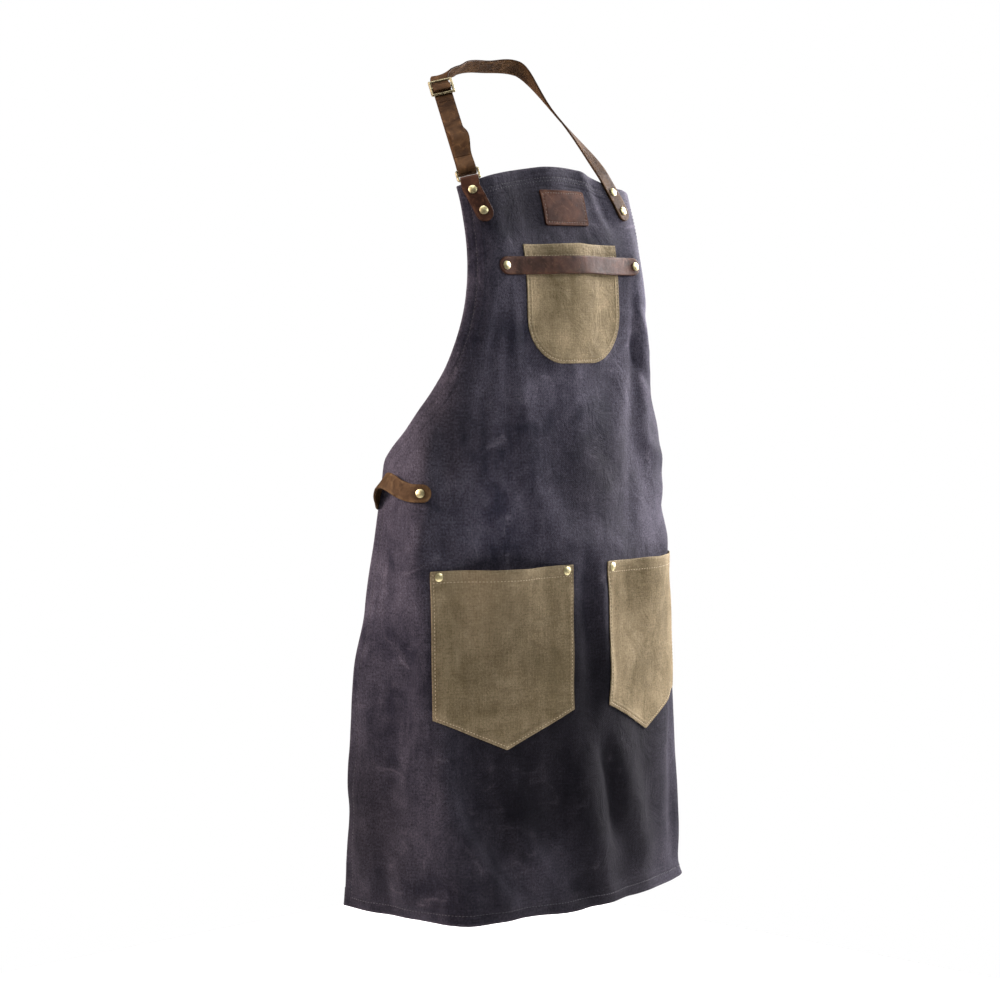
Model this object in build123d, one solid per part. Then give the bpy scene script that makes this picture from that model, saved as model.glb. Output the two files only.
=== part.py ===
"""Butcher apron in the shape it takes when it is worn, built as separate pieces.

Millimetres. +X is the wearer's left, -Y the wearer's front and +Z up. While the pieces are
being built, heights are measured from the hem; every node is then moved so that the origin
is the inside face of the neck strap at the back of the neck.
"""
import math
import os
from dataclasses import dataclass
from functools import lru_cache

from build123d import *

# ---------------------------------------------------------------- driving dimensions

CANVAS = 1.6                # thickness of the waxed canvas
POCKET_CANVAS = 1.2         # thickness of the pocket canvas
LEATHER = 2.2               # thickness of every leather strap and tab
STRAP_WIDTH = 20.0
WIRE = 3.0                  # diameter of the ring's wire and of the slider's bars
RUNNING_GAP = 0.1           # between a wire and the leather that is wrapped around it
SEWN_GAP = 0.2              # between two layers that are sewn or riveted together

WAIST_HEIGHT = 500.0        # where the armhole curve meets the straight side
TOP_HEIGHT = 821.0          # top of the bib on its centre line
TOP_CORNER_DROP = 24.0      # how much lower the bib's corners hang
HEM_HALF_WIDTH = 345.0
WAIST_HALF_WIDTH = 288.0
TOP_HALF_WIDTH = 138.0
ARMHOLE_LEAN = 20.0         # part of the armhole that widens evenly
ARMHOLE_CURVE = 4.0         # power of the rest: how late the armhole flares out

HIP_POCKET = {"inner": 28.0, "outer": 204.0, "top": 384.0, "side_bottom": 225.0, "tip": 187.0}
HIP_POCKET_GAPE = 17.4      # how far the middle of the mouth stands off
POCKET_RIVET_IN = 9.0       # from the pocket's side and from its top
POCKET_RIVET_DOWN = 6.0
CHEST_POCKET = {"half_width": 73.5, "top": 735.0, "bottom": 606.0, "corner_radius": 52.0}
CHEST_POCKET_GAPE = 10.2
SEAM_SHARE = 0.09           # share of a pocket's width by each side seam that stays flat
CHEST_STRAP_HEIGHT = 712.0
CHEST_STRAP_HALF_LENGTH = 111.0
CHEST_STRAP_BOW = 10.6      # how far the strap stands out over the middle of the pocket
CHEST_RIVET_AT = 103.5
CHEST_STRAP_FLAT = 14.0     # flat end of the strap, inwards from its rivet
PATCH = {"width": 68.0, "height": 38.0, "middle": 776.0, "thickness": 1.8}

# Leather ends on the bib's corners: middle between the two rivets, and how far the top leans
# towards the wearer's left.
TAB_SEAT = {"across": -121.0, "height": 782.0, "lean": -13.5}
STRAP_SEAT = {"across": 94.0, "height": 785.0, "lean": -22.0}
TAB_RIVET_SPACING = 24.0
TAB_END = 12.0              # from the lower rivet to the tab's rounded end
TAB_RIVET_TO_RING = 13.5    # from the upper rivet to the ring's lower bar
RING_INNER_HEIGHT = 10.0
RING_INNER_WIDTH = 21.0
RING_CORNER_RADIUS = 2.0    # to the middle of the wire
CURVE_ROOM = 2.2            # room behind a leather leg for the curve of the canvas

NECK_REST = Vector(0, -12, 939)     # inside face of the strap at the back of the neck
NECK_FRONT = Vector(72, -62, 882)   # the strap on its way from the bib to the neck
NECK_HALF_WIDTH = 47.0
NECK_SIDE_DEPTH = -20.0
NECK_RIGHT_DROP = 7.0       # how much lower the strap is where it leaves the neck on the right
STRAP_LEAVES_AT = 31.0      # where the strap leaves the bib, above the middle of its rivets
LEG_LENGTH = 117.0          # ring's upper bar to the slider's middle bar
LEG_CUT = 16.0              # the fixed stub of the return leg above the ring
FOLD_INSIDE = 4.3           # inner radius of the strap's loose fold round the ring's upper bar
SLIDER_TRAVEL = 40.0
SLIDER_PITCH = 9.0
SLIDER_INNER_WIDTH = 21.4
SLIDER_STAND_OFF = 2.5      # slider's plane in front of the plane of the two legs
FOLD_FRONT = 6.0            # length of the end fold in front of the middle bar
FOLD_BACK = 20.0            # and behind it

LOOP_HEIGHT = 467.5         # waist loop's rivet
LOOP_RIVET_ACROSS = 209.0
LOOP_END = 11.0             # from the rivet to the loop's rounded end
LOOP_STAND_OFF = 11.0       # how far the loop arches out from the canvas
LOOP_CLEARANCE = 0.4        # between the swivelling loop and the canvas
LOOP_PAST_EDGE = 5.0
LOOP_BACK_SPREAD = 3.0      # how much further in the loop's back end starts at the edge
LOOP_RISE = 12.0            # how much the arch climbs on its way to the edge

THROUGH_LAYERS = 60.0       # length of the cutter for a rivet's hole
THROUGH_APRON = 400.0       # reach of a cutter that passes the whole apron

RIVET_CAP_RADIUS = 4.75
RIVET_CAP_HEIGHT = 1.9
RIVET_RIM = 0.6
RIVET_POST_RADIUS = 1.6
RIVET_BACK_THICKNESS = 1.0
RIVET_HOLE_GAP = 0.05
RIVET_BACK_ROOM = 0.7       # behind the layers, for the curve of the cloth under a rivet's back


@dataclass
class Side:
    """One side of a horizontal section: a front panel, a turn and a side panel."""

    front_slope: float      # degrees that the cloth has turned at the front panel's end
    front_width: float
    side_slope: float
    turn_length: float


@dataclass
class Level:
    """The shape of the cloth at one height."""

    height: float
    depth: float            # Y of the centre line
    right: Side
    left: Side


LEVELS = [
    Level(0, -178, Side(9, 160, 86, 60), Side(12, 204, 80, 90)),           # hem
    Level(200, -182, Side(15, 192, 90, 60), Side(15, 190, 88, 90)),        # knee
    Level(384, -180, Side(18, 206, 100, 50), Side(14, 176, 98, 80)),       # hip
    Level(500, -172, Side(18, 195, 110, 60), Side(13, 172, 108, 80)),      # waist
    Level(607, -161.5, Side(9, 150, 92, 50), Side(8, 135, 90, 80)),        # under the chest
    Level(713, -150.5, Side(1, 112, 72, 60), Side(1, 114, 66, 50)),        # chest
    Level(775, -139, Side(3, 105, 60, 50), Side(3, 108, 50, 60)),          # label
    Level(824, -125, Side(8, 100, 44, 60), Side(7, 106, 34, 60)),          # top of the bib
]
FRONT_EASE = 0.35           # share of the front panel over which its slope builds up
TURN_LEAD = 0.3             # share of the turn that lies before the front panel's end

# Powers that shape the curves: higher ones start later and rise faster.
GAPE_ROUNDNESS = 2.0
GAPE_RISE = 1.6
BOW_ROUNDNESS = 1.1
ARCH_ROUNDNESS = 1.4
ARCH_SHARE = 0.75           # share of a half wave that a waist loop's arch runs through

# How many sections or points the lofted and gridded pieces have.
BODY_ROWS = 35
BODY_COLUMNS = 47
POCKET_GRID = 19
STRAP_SAMPLES = 21
LOOP_SAMPLES = 15
NECK_STEP = 9.0             # between the neck strap's sections

# ---------------------------------------------------------------- the worn cloth


def level_value(height, pick):
    """Value of a Level at any height: a curve through the levels that never overshoots."""
    xs = [level.height for level in LEVELS]
    ys = [pick(level) for level in LEVELS]
    height = min(max(height, xs[0]), xs[-1])
    rise = [(ys[i + 1] - ys[i]) / (xs[i + 1] - xs[i]) for i in range(len(xs) - 1)]
    slope = [rise[0]]
    for before, after in zip(rise, rise[1:]):
        slope.append(0 if before * after <= 0 else 2 * before * after / (before + after))
    slope.append(rise[-1])
    i = next(i for i in range(len(rise)) if height <= xs[i + 1])
    step = xs[i + 1] - xs[i]
    u = (height - xs[i]) / step
    return ((1 + 2 * u) * (1 - u) ** 2 * ys[i] + u * (1 - u) ** 2 * step * slope[i]
            + u * u * (3 - 2 * u) * ys[i + 1] + u * u * (u - 1) * step * slope[i + 1])


@lru_cache(maxsize=None)
def side_at(height, name):
    """The Side of one section: right or left."""
    fields = ("front_slope", "front_width", "side_slope", "turn_length")
    return Side(*(level_value(height, lambda level: getattr(getattr(level, name), field))
                  for field in fields))


def slope_at(across, side):
    """Angle that the cloth has turned away from the front, in radians."""
    front = math.radians(side.front_slope) * min(across / (FRONT_EASE * side.front_width), 1)
    u = (across - side.front_width) / side.turn_length + TURN_LEAD
    u = min(max(u, 0), 1)
    turned = math.radians(side.side_slope - side.front_slope) * u * u * (3 - 2 * u)
    return front + turned


@lru_cache(maxsize=None)
def section_outline(height, name):
    """Points of one side of a section, one per millimetre from the centre line outwards."""
    side = side_at(height, name)
    x = y = 0.0
    points = [(x, y)]
    for i in range(int(HEM_HALF_WIDTH) + 20):
        slope = slope_at(i + 0.5, side)
        x += math.cos(slope)
        y += math.sin(slope)
        points.append((x, y))
    return points


def middle_point(across, height):
    """Point in the middle of the canvas, `across` mm along it from the centre line."""
    outline = section_outline(height, "left" if across > 0 else "right")
    i = int(abs(across))
    part = abs(across) - i
    x = outline[i][0] + (outline[i + 1][0] - outline[i][0]) * part
    y = outline[i][1] + (outline[i + 1][1] - outline[i][1]) * part
    return Vector(math.copysign(x, across), level_value(height, lambda level: level.depth) + y, height)


def cloth_plane(across, height):
    """Plane on the canvas: X along the cloth to the wearer's left, Z out of it."""
    step = 1.0
    along = middle_point(across + step, height) - middle_point(across - step, height)
    low = max(height - step, 0)
    up = middle_point(across, height + step) - middle_point(across, low)
    return Plane(middle_point(across, height), x_dir=along, z_dir=along.cross(up))


def cloth_point(across, height, out=0.0):
    """Point that stands `out` mm in front of the middle of the canvas."""
    plane = cloth_plane(across, height)
    return plane.origin + plane.z_dir * out


def half_width(height):
    """Half the width of the apron, measured along the cloth."""
    if height <= WAIST_HEIGHT:
        return HEM_HALF_WIDTH + (WAIST_HALF_WIDTH - HEM_HALF_WIDTH) * height / WAIST_HEIGHT
    down = (TOP_HEIGHT - height) / (TOP_HEIGHT - WAIST_HEIGHT)
    flare = WAIST_HALF_WIDTH - TOP_HALF_WIDTH - ARMHOLE_LEAN
    return TOP_HALF_WIDTH + ARMHOLE_LEAN * down + flare * down ** ARMHOLE_CURVE


# ---------------------------------------------------------------- shared building steps


def fraction(i, count):
    return i / (count - 1)


def shifted(plane, x=0.0, y=0.0, z=0.0, turn=0.0):
    """The plane moved along its own axes and turned about its own Z."""
    return Plane(plane.location * Pos(x, y, z) * Rot(0, 0, turn))


def slab(rows, thickness):
    """Solid sheet around a grid of points that lies in the middle of its thickness."""
    return thicken(Face.make_surface_from_array_of_points(rows), thickness / 2, both=True)


def ribbon(frames, width=STRAP_WIDTH, thickness=LEATHER):
    """Leather strap through a list of (point, direction of travel, direction across)."""
    sections = [Plane(point, x_dir=across, z_dir=travel) * Rectangle(width, thickness)
                for point, travel, across in frames]
    return loft(sections, ruled=True)


def travel_frames(points, widths):
    """Frames of a strap from its points and the direction across it at each point."""
    frames = []
    for i, (point, across) in enumerate(zip(points, widths)):
        travel = points[min(i + 1, len(points) - 1)] - points[max(i - 1, 0)]
        frames.append((point, travel.normalized(), across))
    return frames


def hole(plane, radius=RIVET_POST_RADIUS + RIVET_HOLE_GAP):
    return plane * Cylinder(radius, THROUGH_LAYERS)


def pierce(solid, planes):
    for plane in planes:
        solid -= hole(plane)
    return solid


def rivet_cap(plane, front, back):
    """Domed cap on the surface at `front`, with its post down to the level `back`."""
    rim = Cylinder(RIVET_CAP_RADIUS, RIVET_RIM, align=(Align.CENTER, Align.CENTER, Align.MIN))
    dome_height = RIVET_CAP_HEIGHT - RIVET_RIM
    dome_radius = (RIVET_CAP_RADIUS ** 2 + dome_height ** 2) / (2 * dome_height)
    ball = Pos(0, 0, RIVET_CAP_HEIGHT - dome_radius) * Sphere(dome_radius)
    dome = ball & (Pos(0, 0, RIVET_RIM) * Cylinder(
        RIVET_CAP_RADIUS, RIVET_CAP_HEIGHT, align=(Align.CENTER, Align.CENTER, Align.MIN)))
    post_length = front - back + RIVET_BACK_THICKNESS
    post = Cylinder(RIVET_POST_RADIUS, post_length, align=(Align.CENTER, Align.CENTER, Align.MAX))
    return plane * (Pos(0, 0, front) * (rim + dome + post))


def rivet_back(plane, back):
    """Washer that the post is set into, behind the layers."""
    washer = Cylinder(RIVET_CAP_RADIUS, RIVET_BACK_THICKNESS,
                      align=(Align.CENTER, Align.CENTER, Align.MAX))
    washer -= Cylinder(RIVET_POST_RADIUS, 4)
    return plane * (Pos(0, 0, back) * washer)


def rivet_nodes(name, seats):
    """Two nodes, caps and backs, for a list of (plane, front, back)."""
    caps = Compound(children=[rivet_cap(*seat) for seat in seats])
    backs = Compound(children=[rivet_back(plane, back) for plane, _, back in seats])
    return {f"{name}_caps": caps, f"{name}_backs": backs}


# ---------------------------------------------------------------- rivet positions

CANVAS_FACE = CANVAS / 2
LAID_MIDDLE = CANVAS_FACE + SEWN_GAP + LEATHER / 2      # middle of leather laid on the canvas
LAID_TOP = LAID_MIDDLE + LEATHER / 2 + SEWN_GAP
LOOP_MIDDLE = LAID_MIDDLE + LOOP_CLEARANCE
LOOP_TOP = LAID_TOP + LOOP_CLEARANCE
POCKET_MIDDLE = CANVAS_FACE + SEWN_GAP + POCKET_CANVAS / 2
POCKET_TOP = POCKET_MIDDLE + POCKET_CANVAS / 2 + SEWN_GAP
WRAP_INSIDE = WIRE / 2 + RUNNING_GAP                    # inner radius of leather round a wire
WRAP_OUTSIDE = WRAP_INSIDE + LEATHER


def seat_plane(seat, y=0.0):
    """Plane on the canvas `y` mm up a leather end from its middle; its Y runs up the leather."""
    lean = math.radians(seat["lean"])
    middle = cloth_plane(seat["across"], seat["height"])
    across = seat["across"] + y * math.sin(lean)
    height = seat["height"] + y * math.cos(lean) * middle.y_dir.Z
    return shifted(cloth_plane(across, height), turn=-seat["lean"])


def seat_rivet_planes(seat):
    half = TAB_RIVET_SPACING / 2
    return [seat_plane(seat, -half), seat_plane(seat, half)]


def chest_rivet_planes():
    return [cloth_plane(x, CHEST_STRAP_HEIGHT) for x in (-CHEST_RIVET_AT, CHEST_RIVET_AT)]


def hip_rivet_planes():
    height = HIP_POCKET["top"] - POCKET_RIVET_DOWN
    spots = (HIP_POCKET["inner"] + POCKET_RIVET_IN, HIP_POCKET["outer"] - POCKET_RIVET_IN)
    return [cloth_plane(side * spot, height) for side in (-1, 1) for spot in spots]


def loop_rivet_plane(side):
    return cloth_plane(side * LOOP_RIVET_ACROSS, LOOP_HEIGHT)


# ---------------------------------------------------------------- cloth nodes


def body_section(height):
    """Outline of the canvas at one height, its front face towards the wearer's front."""
    count = BODY_COLUMNS
    reach = half_width(height)
    front = []
    back = []
    for i in range(count):
        across = reach * (2 * fraction(i, count) - 1)
        along = middle_point(across + 1, height) - middle_point(across - 1, height)
        out = Vector(along.Y, -along.X, 0).normalized() * (CANVAS / 2)
        front.append(middle_point(across, height) + out)
        back.append(middle_point(across, height) - out)
    edges = [Spline(*front), Line(front[-1], back[-1]), Spline(*back[::-1]), Line(back[0], front[0])]
    return make_face(edges)


def make_apron_body():
    count = BODY_ROWS
    body = loft([body_section(fraction(i, count) * TOP_HEIGHT) for i in range(count)], ruled=True)
    corner = middle_point(TOP_HALF_WIDTH, TOP_HEIGHT).X
    low = TOP_HEIGHT - TOP_CORNER_DROP
    above = TOP_HEIGHT + TOP_CORNER_DROP
    arc = ThreePointArc((-corner, low), (0, TOP_HEIGHT), (corner, low))
    rim = Polyline((corner, low), (2 * corner, low), (2 * corner, above),
                   (-2 * corner, above), (-2 * corner, low), (-corner, low))
    body -= extrude(Plane.XZ * make_face([arc, rim]), THROUGH_APRON, both=True)
    planes = chest_rivet_planes() + hip_rivet_planes()
    planes += seat_rivet_planes(TAB_SEAT) + seat_rivet_planes(STRAP_SEAT)
    planes += [loop_rivet_plane(-1), loop_rivet_plane(1)]
    return pierce(body, planes)


def gape(across_part, up_part, amount):
    """How far a pocket's front stands off: most in the middle of its mouth, none on its seams."""
    inside = (across_part - SEAM_SHARE) / (1 - 2 * SEAM_SHARE)
    inside = min(max(inside, 0), 1)
    return amount * math.sin(math.pi * inside) ** GAPE_ROUNDNESS * up_part ** GAPE_RISE


def make_hip_pocket(side):
    count = POCKET_GRID
    size = HIP_POCKET
    rows = []
    for j in range(count):
        height = size["tip"] + fraction(j, count) * (size["top"] - size["tip"])
        row = []
        for i in range(count):
            part = fraction(i, count)
            across = side * (size["inner"] + part * (size["outer"] - size["inner"]))
            out = POCKET_MIDDLE + gape(part, fraction(j, count), HIP_POCKET_GAPE)
            row.append(cloth_point(across, height, out))
        rows.append(row)
    pocket = slab(rows, POCKET_CANVAS)
    tip_across = side * (size["inner"] + size["outer"]) / 2
    tip = cloth_plane(tip_across, size["tip"])
    for edge in ("inner", "outer"):
        corner = middle_point(side * size[edge], size["side_bottom"])
        along = corner - tip.origin
        cut = Plane(tip.origin, x_dir=along, z_dir=along.cross(tip.z_dir))
        if cut.z_dir.Z < 0:
            cut = Plane(tip.origin, x_dir=along, z_dir=tip.z_dir.cross(along))
        pocket = split(pocket, bisect_by=cut, keep=Keep.TOP)
    seats = [plane for plane in hip_rivet_planes() if plane.origin.X * side > 0]
    return pierce(pocket, seats)


def make_chest_pocket():
    count = POCKET_GRID
    size = CHEST_POCKET
    rows = []
    for j in range(count):
        height = size["bottom"] + fraction(j, count) * (size["top"] - size["bottom"])
        row = []
        for i in range(count):
            part = fraction(i, count)
            across = size["half_width"] * (2 * part - 1)
            out = POCKET_MIDDLE + gape(part, fraction(j, count), CHEST_POCKET_GAPE)
            row.append(cloth_point(across, height, out))
        rows.append(row)
    pocket = slab(rows, POCKET_CANVAS)
    height = 2 * (size["top"] - size["bottom"])
    rounded = RectangleRounded(2 * size["half_width"] + 0.01, height, size["corner_radius"])
    front = Plane.XZ * (Pos(0, size["top"]) * rounded)
    return pocket & extrude(front, THROUGH_APRON)


def make_chest_strap():
    count = STRAP_SAMPLES
    reach = CHEST_STRAP_HALF_LENGTH + 2
    seam = CHEST_RIVET_AT - CHEST_STRAP_FLAT
    rows = []
    for j in range(4):
        height = CHEST_STRAP_HEIGHT + STRAP_WIDTH * (fraction(j, 4) - 0.5)
        row = []
        for i in range(count):
            across = reach * (2 * fraction(i, count) - 1)
            bow = math.sin(math.pi * max(0, 1 - abs(across) / seam) / 2) ** BOW_ROUNDNESS
            row.append(cloth_point(across, height, LAID_MIDDLE + CHEST_STRAP_BOW * bow))
        rows.append(row)
    strap = slab(rows, LEATHER)
    outline = SlotOverall(2 * CHEST_STRAP_HALF_LENGTH, STRAP_WIDTH - 0.02)
    strap &= extrude(Plane.XZ * (Pos(0, CHEST_STRAP_HEIGHT) * outline), THROUGH_APRON)
    return pierce(strap, chest_rivet_planes())


def make_label_patch():
    plane = cloth_plane(0, PATCH["middle"])
    out = CANVAS_FACE + SEWN_GAP + PATCH["thickness"] / 2
    rows = []
    for j in range(5):
        height = PATCH["middle"] + PATCH["height"] * (fraction(j, 5) - 0.5)
        rows.append([cloth_point(PATCH["width"] * (fraction(i, 9) - 0.5), height, out)
                     for i in range(9)])
    patch = slab(rows, PATCH["thickness"])
    outline = RectangleRounded(PATCH["width"], PATCH["height"], 2.5)
    return patch & (plane * extrude(outline, 20, both=True))


# ---------------------------------------------------------------- ring and tab


def ring_plane():
    """Plane on the axis of the ring's lower bar: X along the bar, Y up the strap's legs."""
    tab = seat_plane(TAB_SEAT, TAB_RIVET_SPACING / 2)
    centre = shifted(tab, y=TAB_RIVET_TO_RING).origin
    neck_side = Vector(-NECK_HALF_WIDTH - 45, NECK_SIDE_DEPTH - 15, NECK_REST.Z - 30)
    aim = neck_side - centre
    up = aim - tab.x_dir * aim.dot(tab.x_dir)
    return Plane(centre, x_dir=tab.x_dir, z_dir=tab.x_dir.cross(up))


def leg_plane():
    """The same directions, on the axis of the ring's upper bar."""
    return shifted(ring_plane(), y=RING_INNER_HEIGHT + WIRE)


def end_trim(plane, direction):
    """Cutter that rounds a strap's end; `direction` is 1 where the end faces the plane's +Y."""
    radius = STRAP_WIDTH / 2
    corner = Pos(0, direction * 1.5 * radius) * Rectangle(2 * STRAP_WIDTH, 3 * radius)
    return plane * extrude(corner - Circle(radius), 8, both=True)


def tab_frames():
    """Frames of the ring tab: up the outside of the canvas, round the ring and down inside."""
    ring = ring_plane()
    low = -TAB_RIVET_SPACING / 2 - TAB_END
    high = TAB_RIVET_SPACING / 2 + 3
    count = 7
    seats = [seat_plane(TAB_SEAT, low + fraction(i, count) * (high - low)) for i in range(count)]
    front = [seat.origin + seat.z_dir * LAID_MIDDLE for seat in seats]
    back = [seat.origin - seat.z_dir * (LAID_MIDDLE + CURVE_ROOM) for seat in seats]
    middle = WRAP_INSIDE + LEATHER / 2
    tab = seat_plane(TAB_SEAT, TAB_RIVET_SPACING / 2)
    turn = []
    for i in range(11):
        angle = math.pi * fraction(i, 11)
        turn.append(ring.origin + tab.z_dir * (middle * math.cos(angle))
                    + tab.y_dir * (middle * math.sin(angle)))
    points = front + turn + back[::-1]
    across = [seat.x_dir for seat in seats]
    return travel_frames(points, across + [tab.x_dir] * len(turn) + across[::-1])


def make_ring_tab():
    low = shifted(seat_plane(TAB_SEAT, -TAB_RIVET_SPACING / 2), y=STRAP_WIDTH / 2 - TAB_END)
    leather = ribbon(tab_frames()) - end_trim(low, -1)
    return pierce(leather, seat_rivet_planes(TAB_SEAT))


def make_strap_ring():
    height = RING_INNER_HEIGHT + WIRE
    outline = Pos(0, height / 2) * RectangleRounded(RING_INNER_WIDTH + WIRE, height, RING_CORNER_RADIUS)
    path = outline.wire()
    return ring_plane() * sweep(Plane(path @ 0, z_dir=path % 0) * Circle(WIRE / 2), path=path)


# ---------------------------------------------------------------- neck strap and slider


def hermite(start, end, start_pull, end_pull, u):
    """Point on a smooth curve that leaves `start` along one pull and reaches `end` along the other."""
    return (start * ((1 + 2 * u) * (1 - u) ** 2) + start_pull * (u * (1 - u) ** 2)
            + end * (u * u * (3 - 2 * u)) + end_pull * (u * u * (u - 1)))


def neck_keys():
    """(point, pull, direction across) of the neck strap, from the bib's edge to the right leg."""
    high = seat_plane(STRAP_SEAT, STRAP_LEAVES_AT)
    leg = shifted(leg_plane(), z=-WRAP_INSIDE - LEATHER / 2)
    straight_top = shifted(leg, y=LEG_LENGTH + SLIDER_PITCH + 4)
    neck_left = Vector(NECK_HALF_WIDTH, NECK_SIDE_DEPTH, NECK_REST.Z)
    neck_right = Vector(-NECK_HALF_WIDTH, NECK_SIDE_DEPTH, NECK_REST.Z - NECK_RIGHT_DROP)
    upright = Vector(0, -0.8, 0.6)
    return [
        (high.origin + high.z_dir * LAID_MIDDLE, high.y_dir * 60, -high.x_dir),
        (NECK_FRONT, Vector(-30, 50, 66), Vector(-0.8, -0.6, 0.09)),
        (neck_left, Vector(-34, 22, 14), Vector(-0.3, -0.55, 0.75)),
        (NECK_REST + Vector(0, LEATHER / 2, 0), Vector(-48, 0, 0), upright),
        (neck_right, Vector(-34, -12, -16), Vector(0.35, -0.6, 0.7)),
        (straight_top.origin, leg.y_dir * -40, leg.x_dir),
        (shifted(leg, y=LEG_CUT).origin, leg.y_dir * -LEG_LENGTH, leg.x_dir),
    ]


def ring_fold_points():
    """Middle of the strap's loose fold round the ring's upper bar, from the inner leg outwards."""
    leg = leg_plane()
    legs_apart = WRAP_INSIDE + LEATHER / 2
    radius = FOLD_INSIDE + LEATHER / 2
    drop = leg.y_dir * -LEG_CUT
    inner_top = shifted(leg, y=LEG_CUT, z=-legs_apart).origin
    outer_top = shifted(leg, y=LEG_CUT, z=legs_apart).origin
    inner_side = shifted(leg, z=-radius).origin
    outer_side = shifted(leg, z=radius).origin
    points = [hermite(inner_top, inner_side, drop, drop, i / 6) for i in range(1, 6)]
    for i in range(13):
        angle = math.pi * fraction(i, 13)
        points.append(shifted(leg, y=-radius * math.sin(angle), z=-radius * math.cos(angle)).origin)
    points += [hermite(outer_side, outer_top, -drop, -drop, i / 6) for i in range(1, 7)]
    return points


def neck_frames():
    """Frames all along the neck strap, down to the ring and round its upper bar."""
    low = -TAB_RIVET_SPACING / 2 - TAB_END
    seats = [seat_plane(STRAP_SEAT, low + i / 7 * (STRAP_LEAVES_AT - low)) for i in range(7)]
    points = [seat.origin + seat.z_dir * LAID_MIDDLE for seat in seats]
    widths = [-seat.x_dir for seat in seats]
    keys = neck_keys()
    for (start, pull, across), (end, end_pull, end_across) in zip(keys, keys[1:]):
        steps = max(2, round((end - start).length / NECK_STEP))
        for i in range(steps):
            u = i / steps
            ease = u * u * (3 - 2 * u)
            points.append(hermite(start, end, pull, end_pull, u))
            widths.append(across * (1 - ease) + end_across * ease)
    fold = ring_fold_points()
    points += [keys[-1][0]] + fold
    widths += [keys[-1][2]] * (1 + len(fold))
    return travel_frames(points, widths)


def make_neck_strap():
    strap = ribbon(neck_frames())
    low = shifted(seat_plane(STRAP_SEAT, -TAB_RIVET_SPACING / 2), y=STRAP_WIDTH / 2 - TAB_END)
    strap -= end_trim(low, -1)
    return pierce(strap, seat_rivet_planes(STRAP_SEAT))


def slider_plane():
    """Middle of the slider: X along its bars, Y up the legs, Z outwards."""
    return shifted(leg_plane(), y=LEG_LENGTH, z=SLIDER_STAND_OFF)


def make_slider():
    half_width_to_middle = (SLIDER_INNER_WIDTH + WIRE) / 2
    slider = Part()
    for level in (-1, 0, 1):
        bar = Rot(0, 90, 0) * Cylinder(WIRE / 2, 2 * half_width_to_middle)
        slider += Pos(0, level * SLIDER_PITCH, 0) * bar
    for side in (-1, 1):
        rail = Rot(90, 0, 0) * Cylinder(WIRE / 2, 2 * SLIDER_PITCH)
        slider += Pos(side * half_width_to_middle, 0, 0) * rail
        for level in (-1, 1):
            slider += Pos(side * half_width_to_middle, level * SLIDER_PITCH, 0) * Sphere(WIRE / 2)
    return slider_plane() * slider


def make_strap_end_fold():
    """The strap's end, folded over the slider's middle bar."""
    fold = Circle(WRAP_OUTSIDE) - Circle(WRAP_INSIDE)
    fold &= Pos(WRAP_OUTSIDE, 0) * Rectangle(2 * WRAP_OUTSIDE, 2 * WRAP_OUTSIDE)
    middle = WRAP_INSIDE + LEATHER / 2
    fold += Pos(-FOLD_FRONT / 2, middle) * Rectangle(FOLD_FRONT, LEATHER)
    fold += Pos(-FOLD_BACK / 2, -middle) * Rectangle(FOLD_BACK, LEATHER)
    # The sketch's X runs up the strap and its Y out of it.
    plane = slider_plane()
    side_view = Plane(plane.origin, x_dir=plane.y_dir, z_dir=plane.x_dir)
    return extrude(side_view * fold, STRAP_WIDTH / 2, both=True)


def make_strap_return_leg():
    """The outer leg, from the stub above the ring to the end fold behind the slider."""
    leg = leg_plane()
    middle = WRAP_INSIDE + LEATHER / 2
    low = shifted(leg, y=LEG_CUT, z=middle)
    high = shifted(leg, y=LEG_LENGTH - FOLD_BACK, z=SLIDER_STAND_OFF - middle)
    count = 9
    points = []
    for i in range(count):
        u = fraction(i, count)
        points.append(hermite(low.origin, high.origin,
                              leg.y_dir * LEG_LENGTH, leg.y_dir * LEG_LENGTH, u))
    return ribbon([(point, leg.y_dir, leg.x_dir) for point in points])


# ---------------------------------------------------------------- waist loops


def loop_frames(side):
    """Frames of a waist loop: out from the rivet, round the canvas's edge and back inside."""
    edge = half_width(LOOP_HEIGHT)
    start = LOOP_RIVET_ACROSS - LOOP_END
    flat_end = LOOP_RIVET_ACROSS + LOOP_END
    count = LOOP_SAMPLES
    front = []
    back = []
    widths = []
    for i in range(count):
        across = start + (edge - start) * fraction(i, count)
        away = max(0, (across - flat_end) / (edge - flat_end))
        arch = math.sin(math.pi * ARCH_SHARE * away) ** ARCH_ROUNDNESS
        height = LOOP_HEIGHT + LOOP_RISE * away * away * (3 - 2 * away)
        seat = cloth_plane(side * across, height)
        front.append(seat.origin + seat.z_dir * (LOOP_MIDDLE + LOOP_STAND_OFF * arch))
        back.append(seat.origin - seat.z_dir * (LOOP_MIDDLE + CURVE_ROOM + LOOP_BACK_SPREAD * away))
        widths.append(seat.y_dir)
    outward = seat.x_dir * side
    radius = (front[-1] - back[-1]).length / 2
    centre = (front[-1] + back[-1]) / 2
    turn = []
    for i in range(1, 8):
        angle = math.pi * i / 8
        turn.append(centre + seat.z_dir * (radius * math.cos(angle))
                    + outward * (LOOP_PAST_EDGE * math.sin(angle)))
    points = front + turn + back[::-1]
    return travel_frames(points, widths + [widths[-1]] * len(turn) + widths[::-1])


def make_waist_loop(side):
    seat = loop_rivet_plane(side)
    end = shifted(seat, x=side * (STRAP_WIDTH / 2 - LOOP_END), turn=90)
    return pierce(ribbon(loop_frames(side)) - end_trim(end, side), [seat])


# ---------------------------------------------------------------- the whole apron


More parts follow.
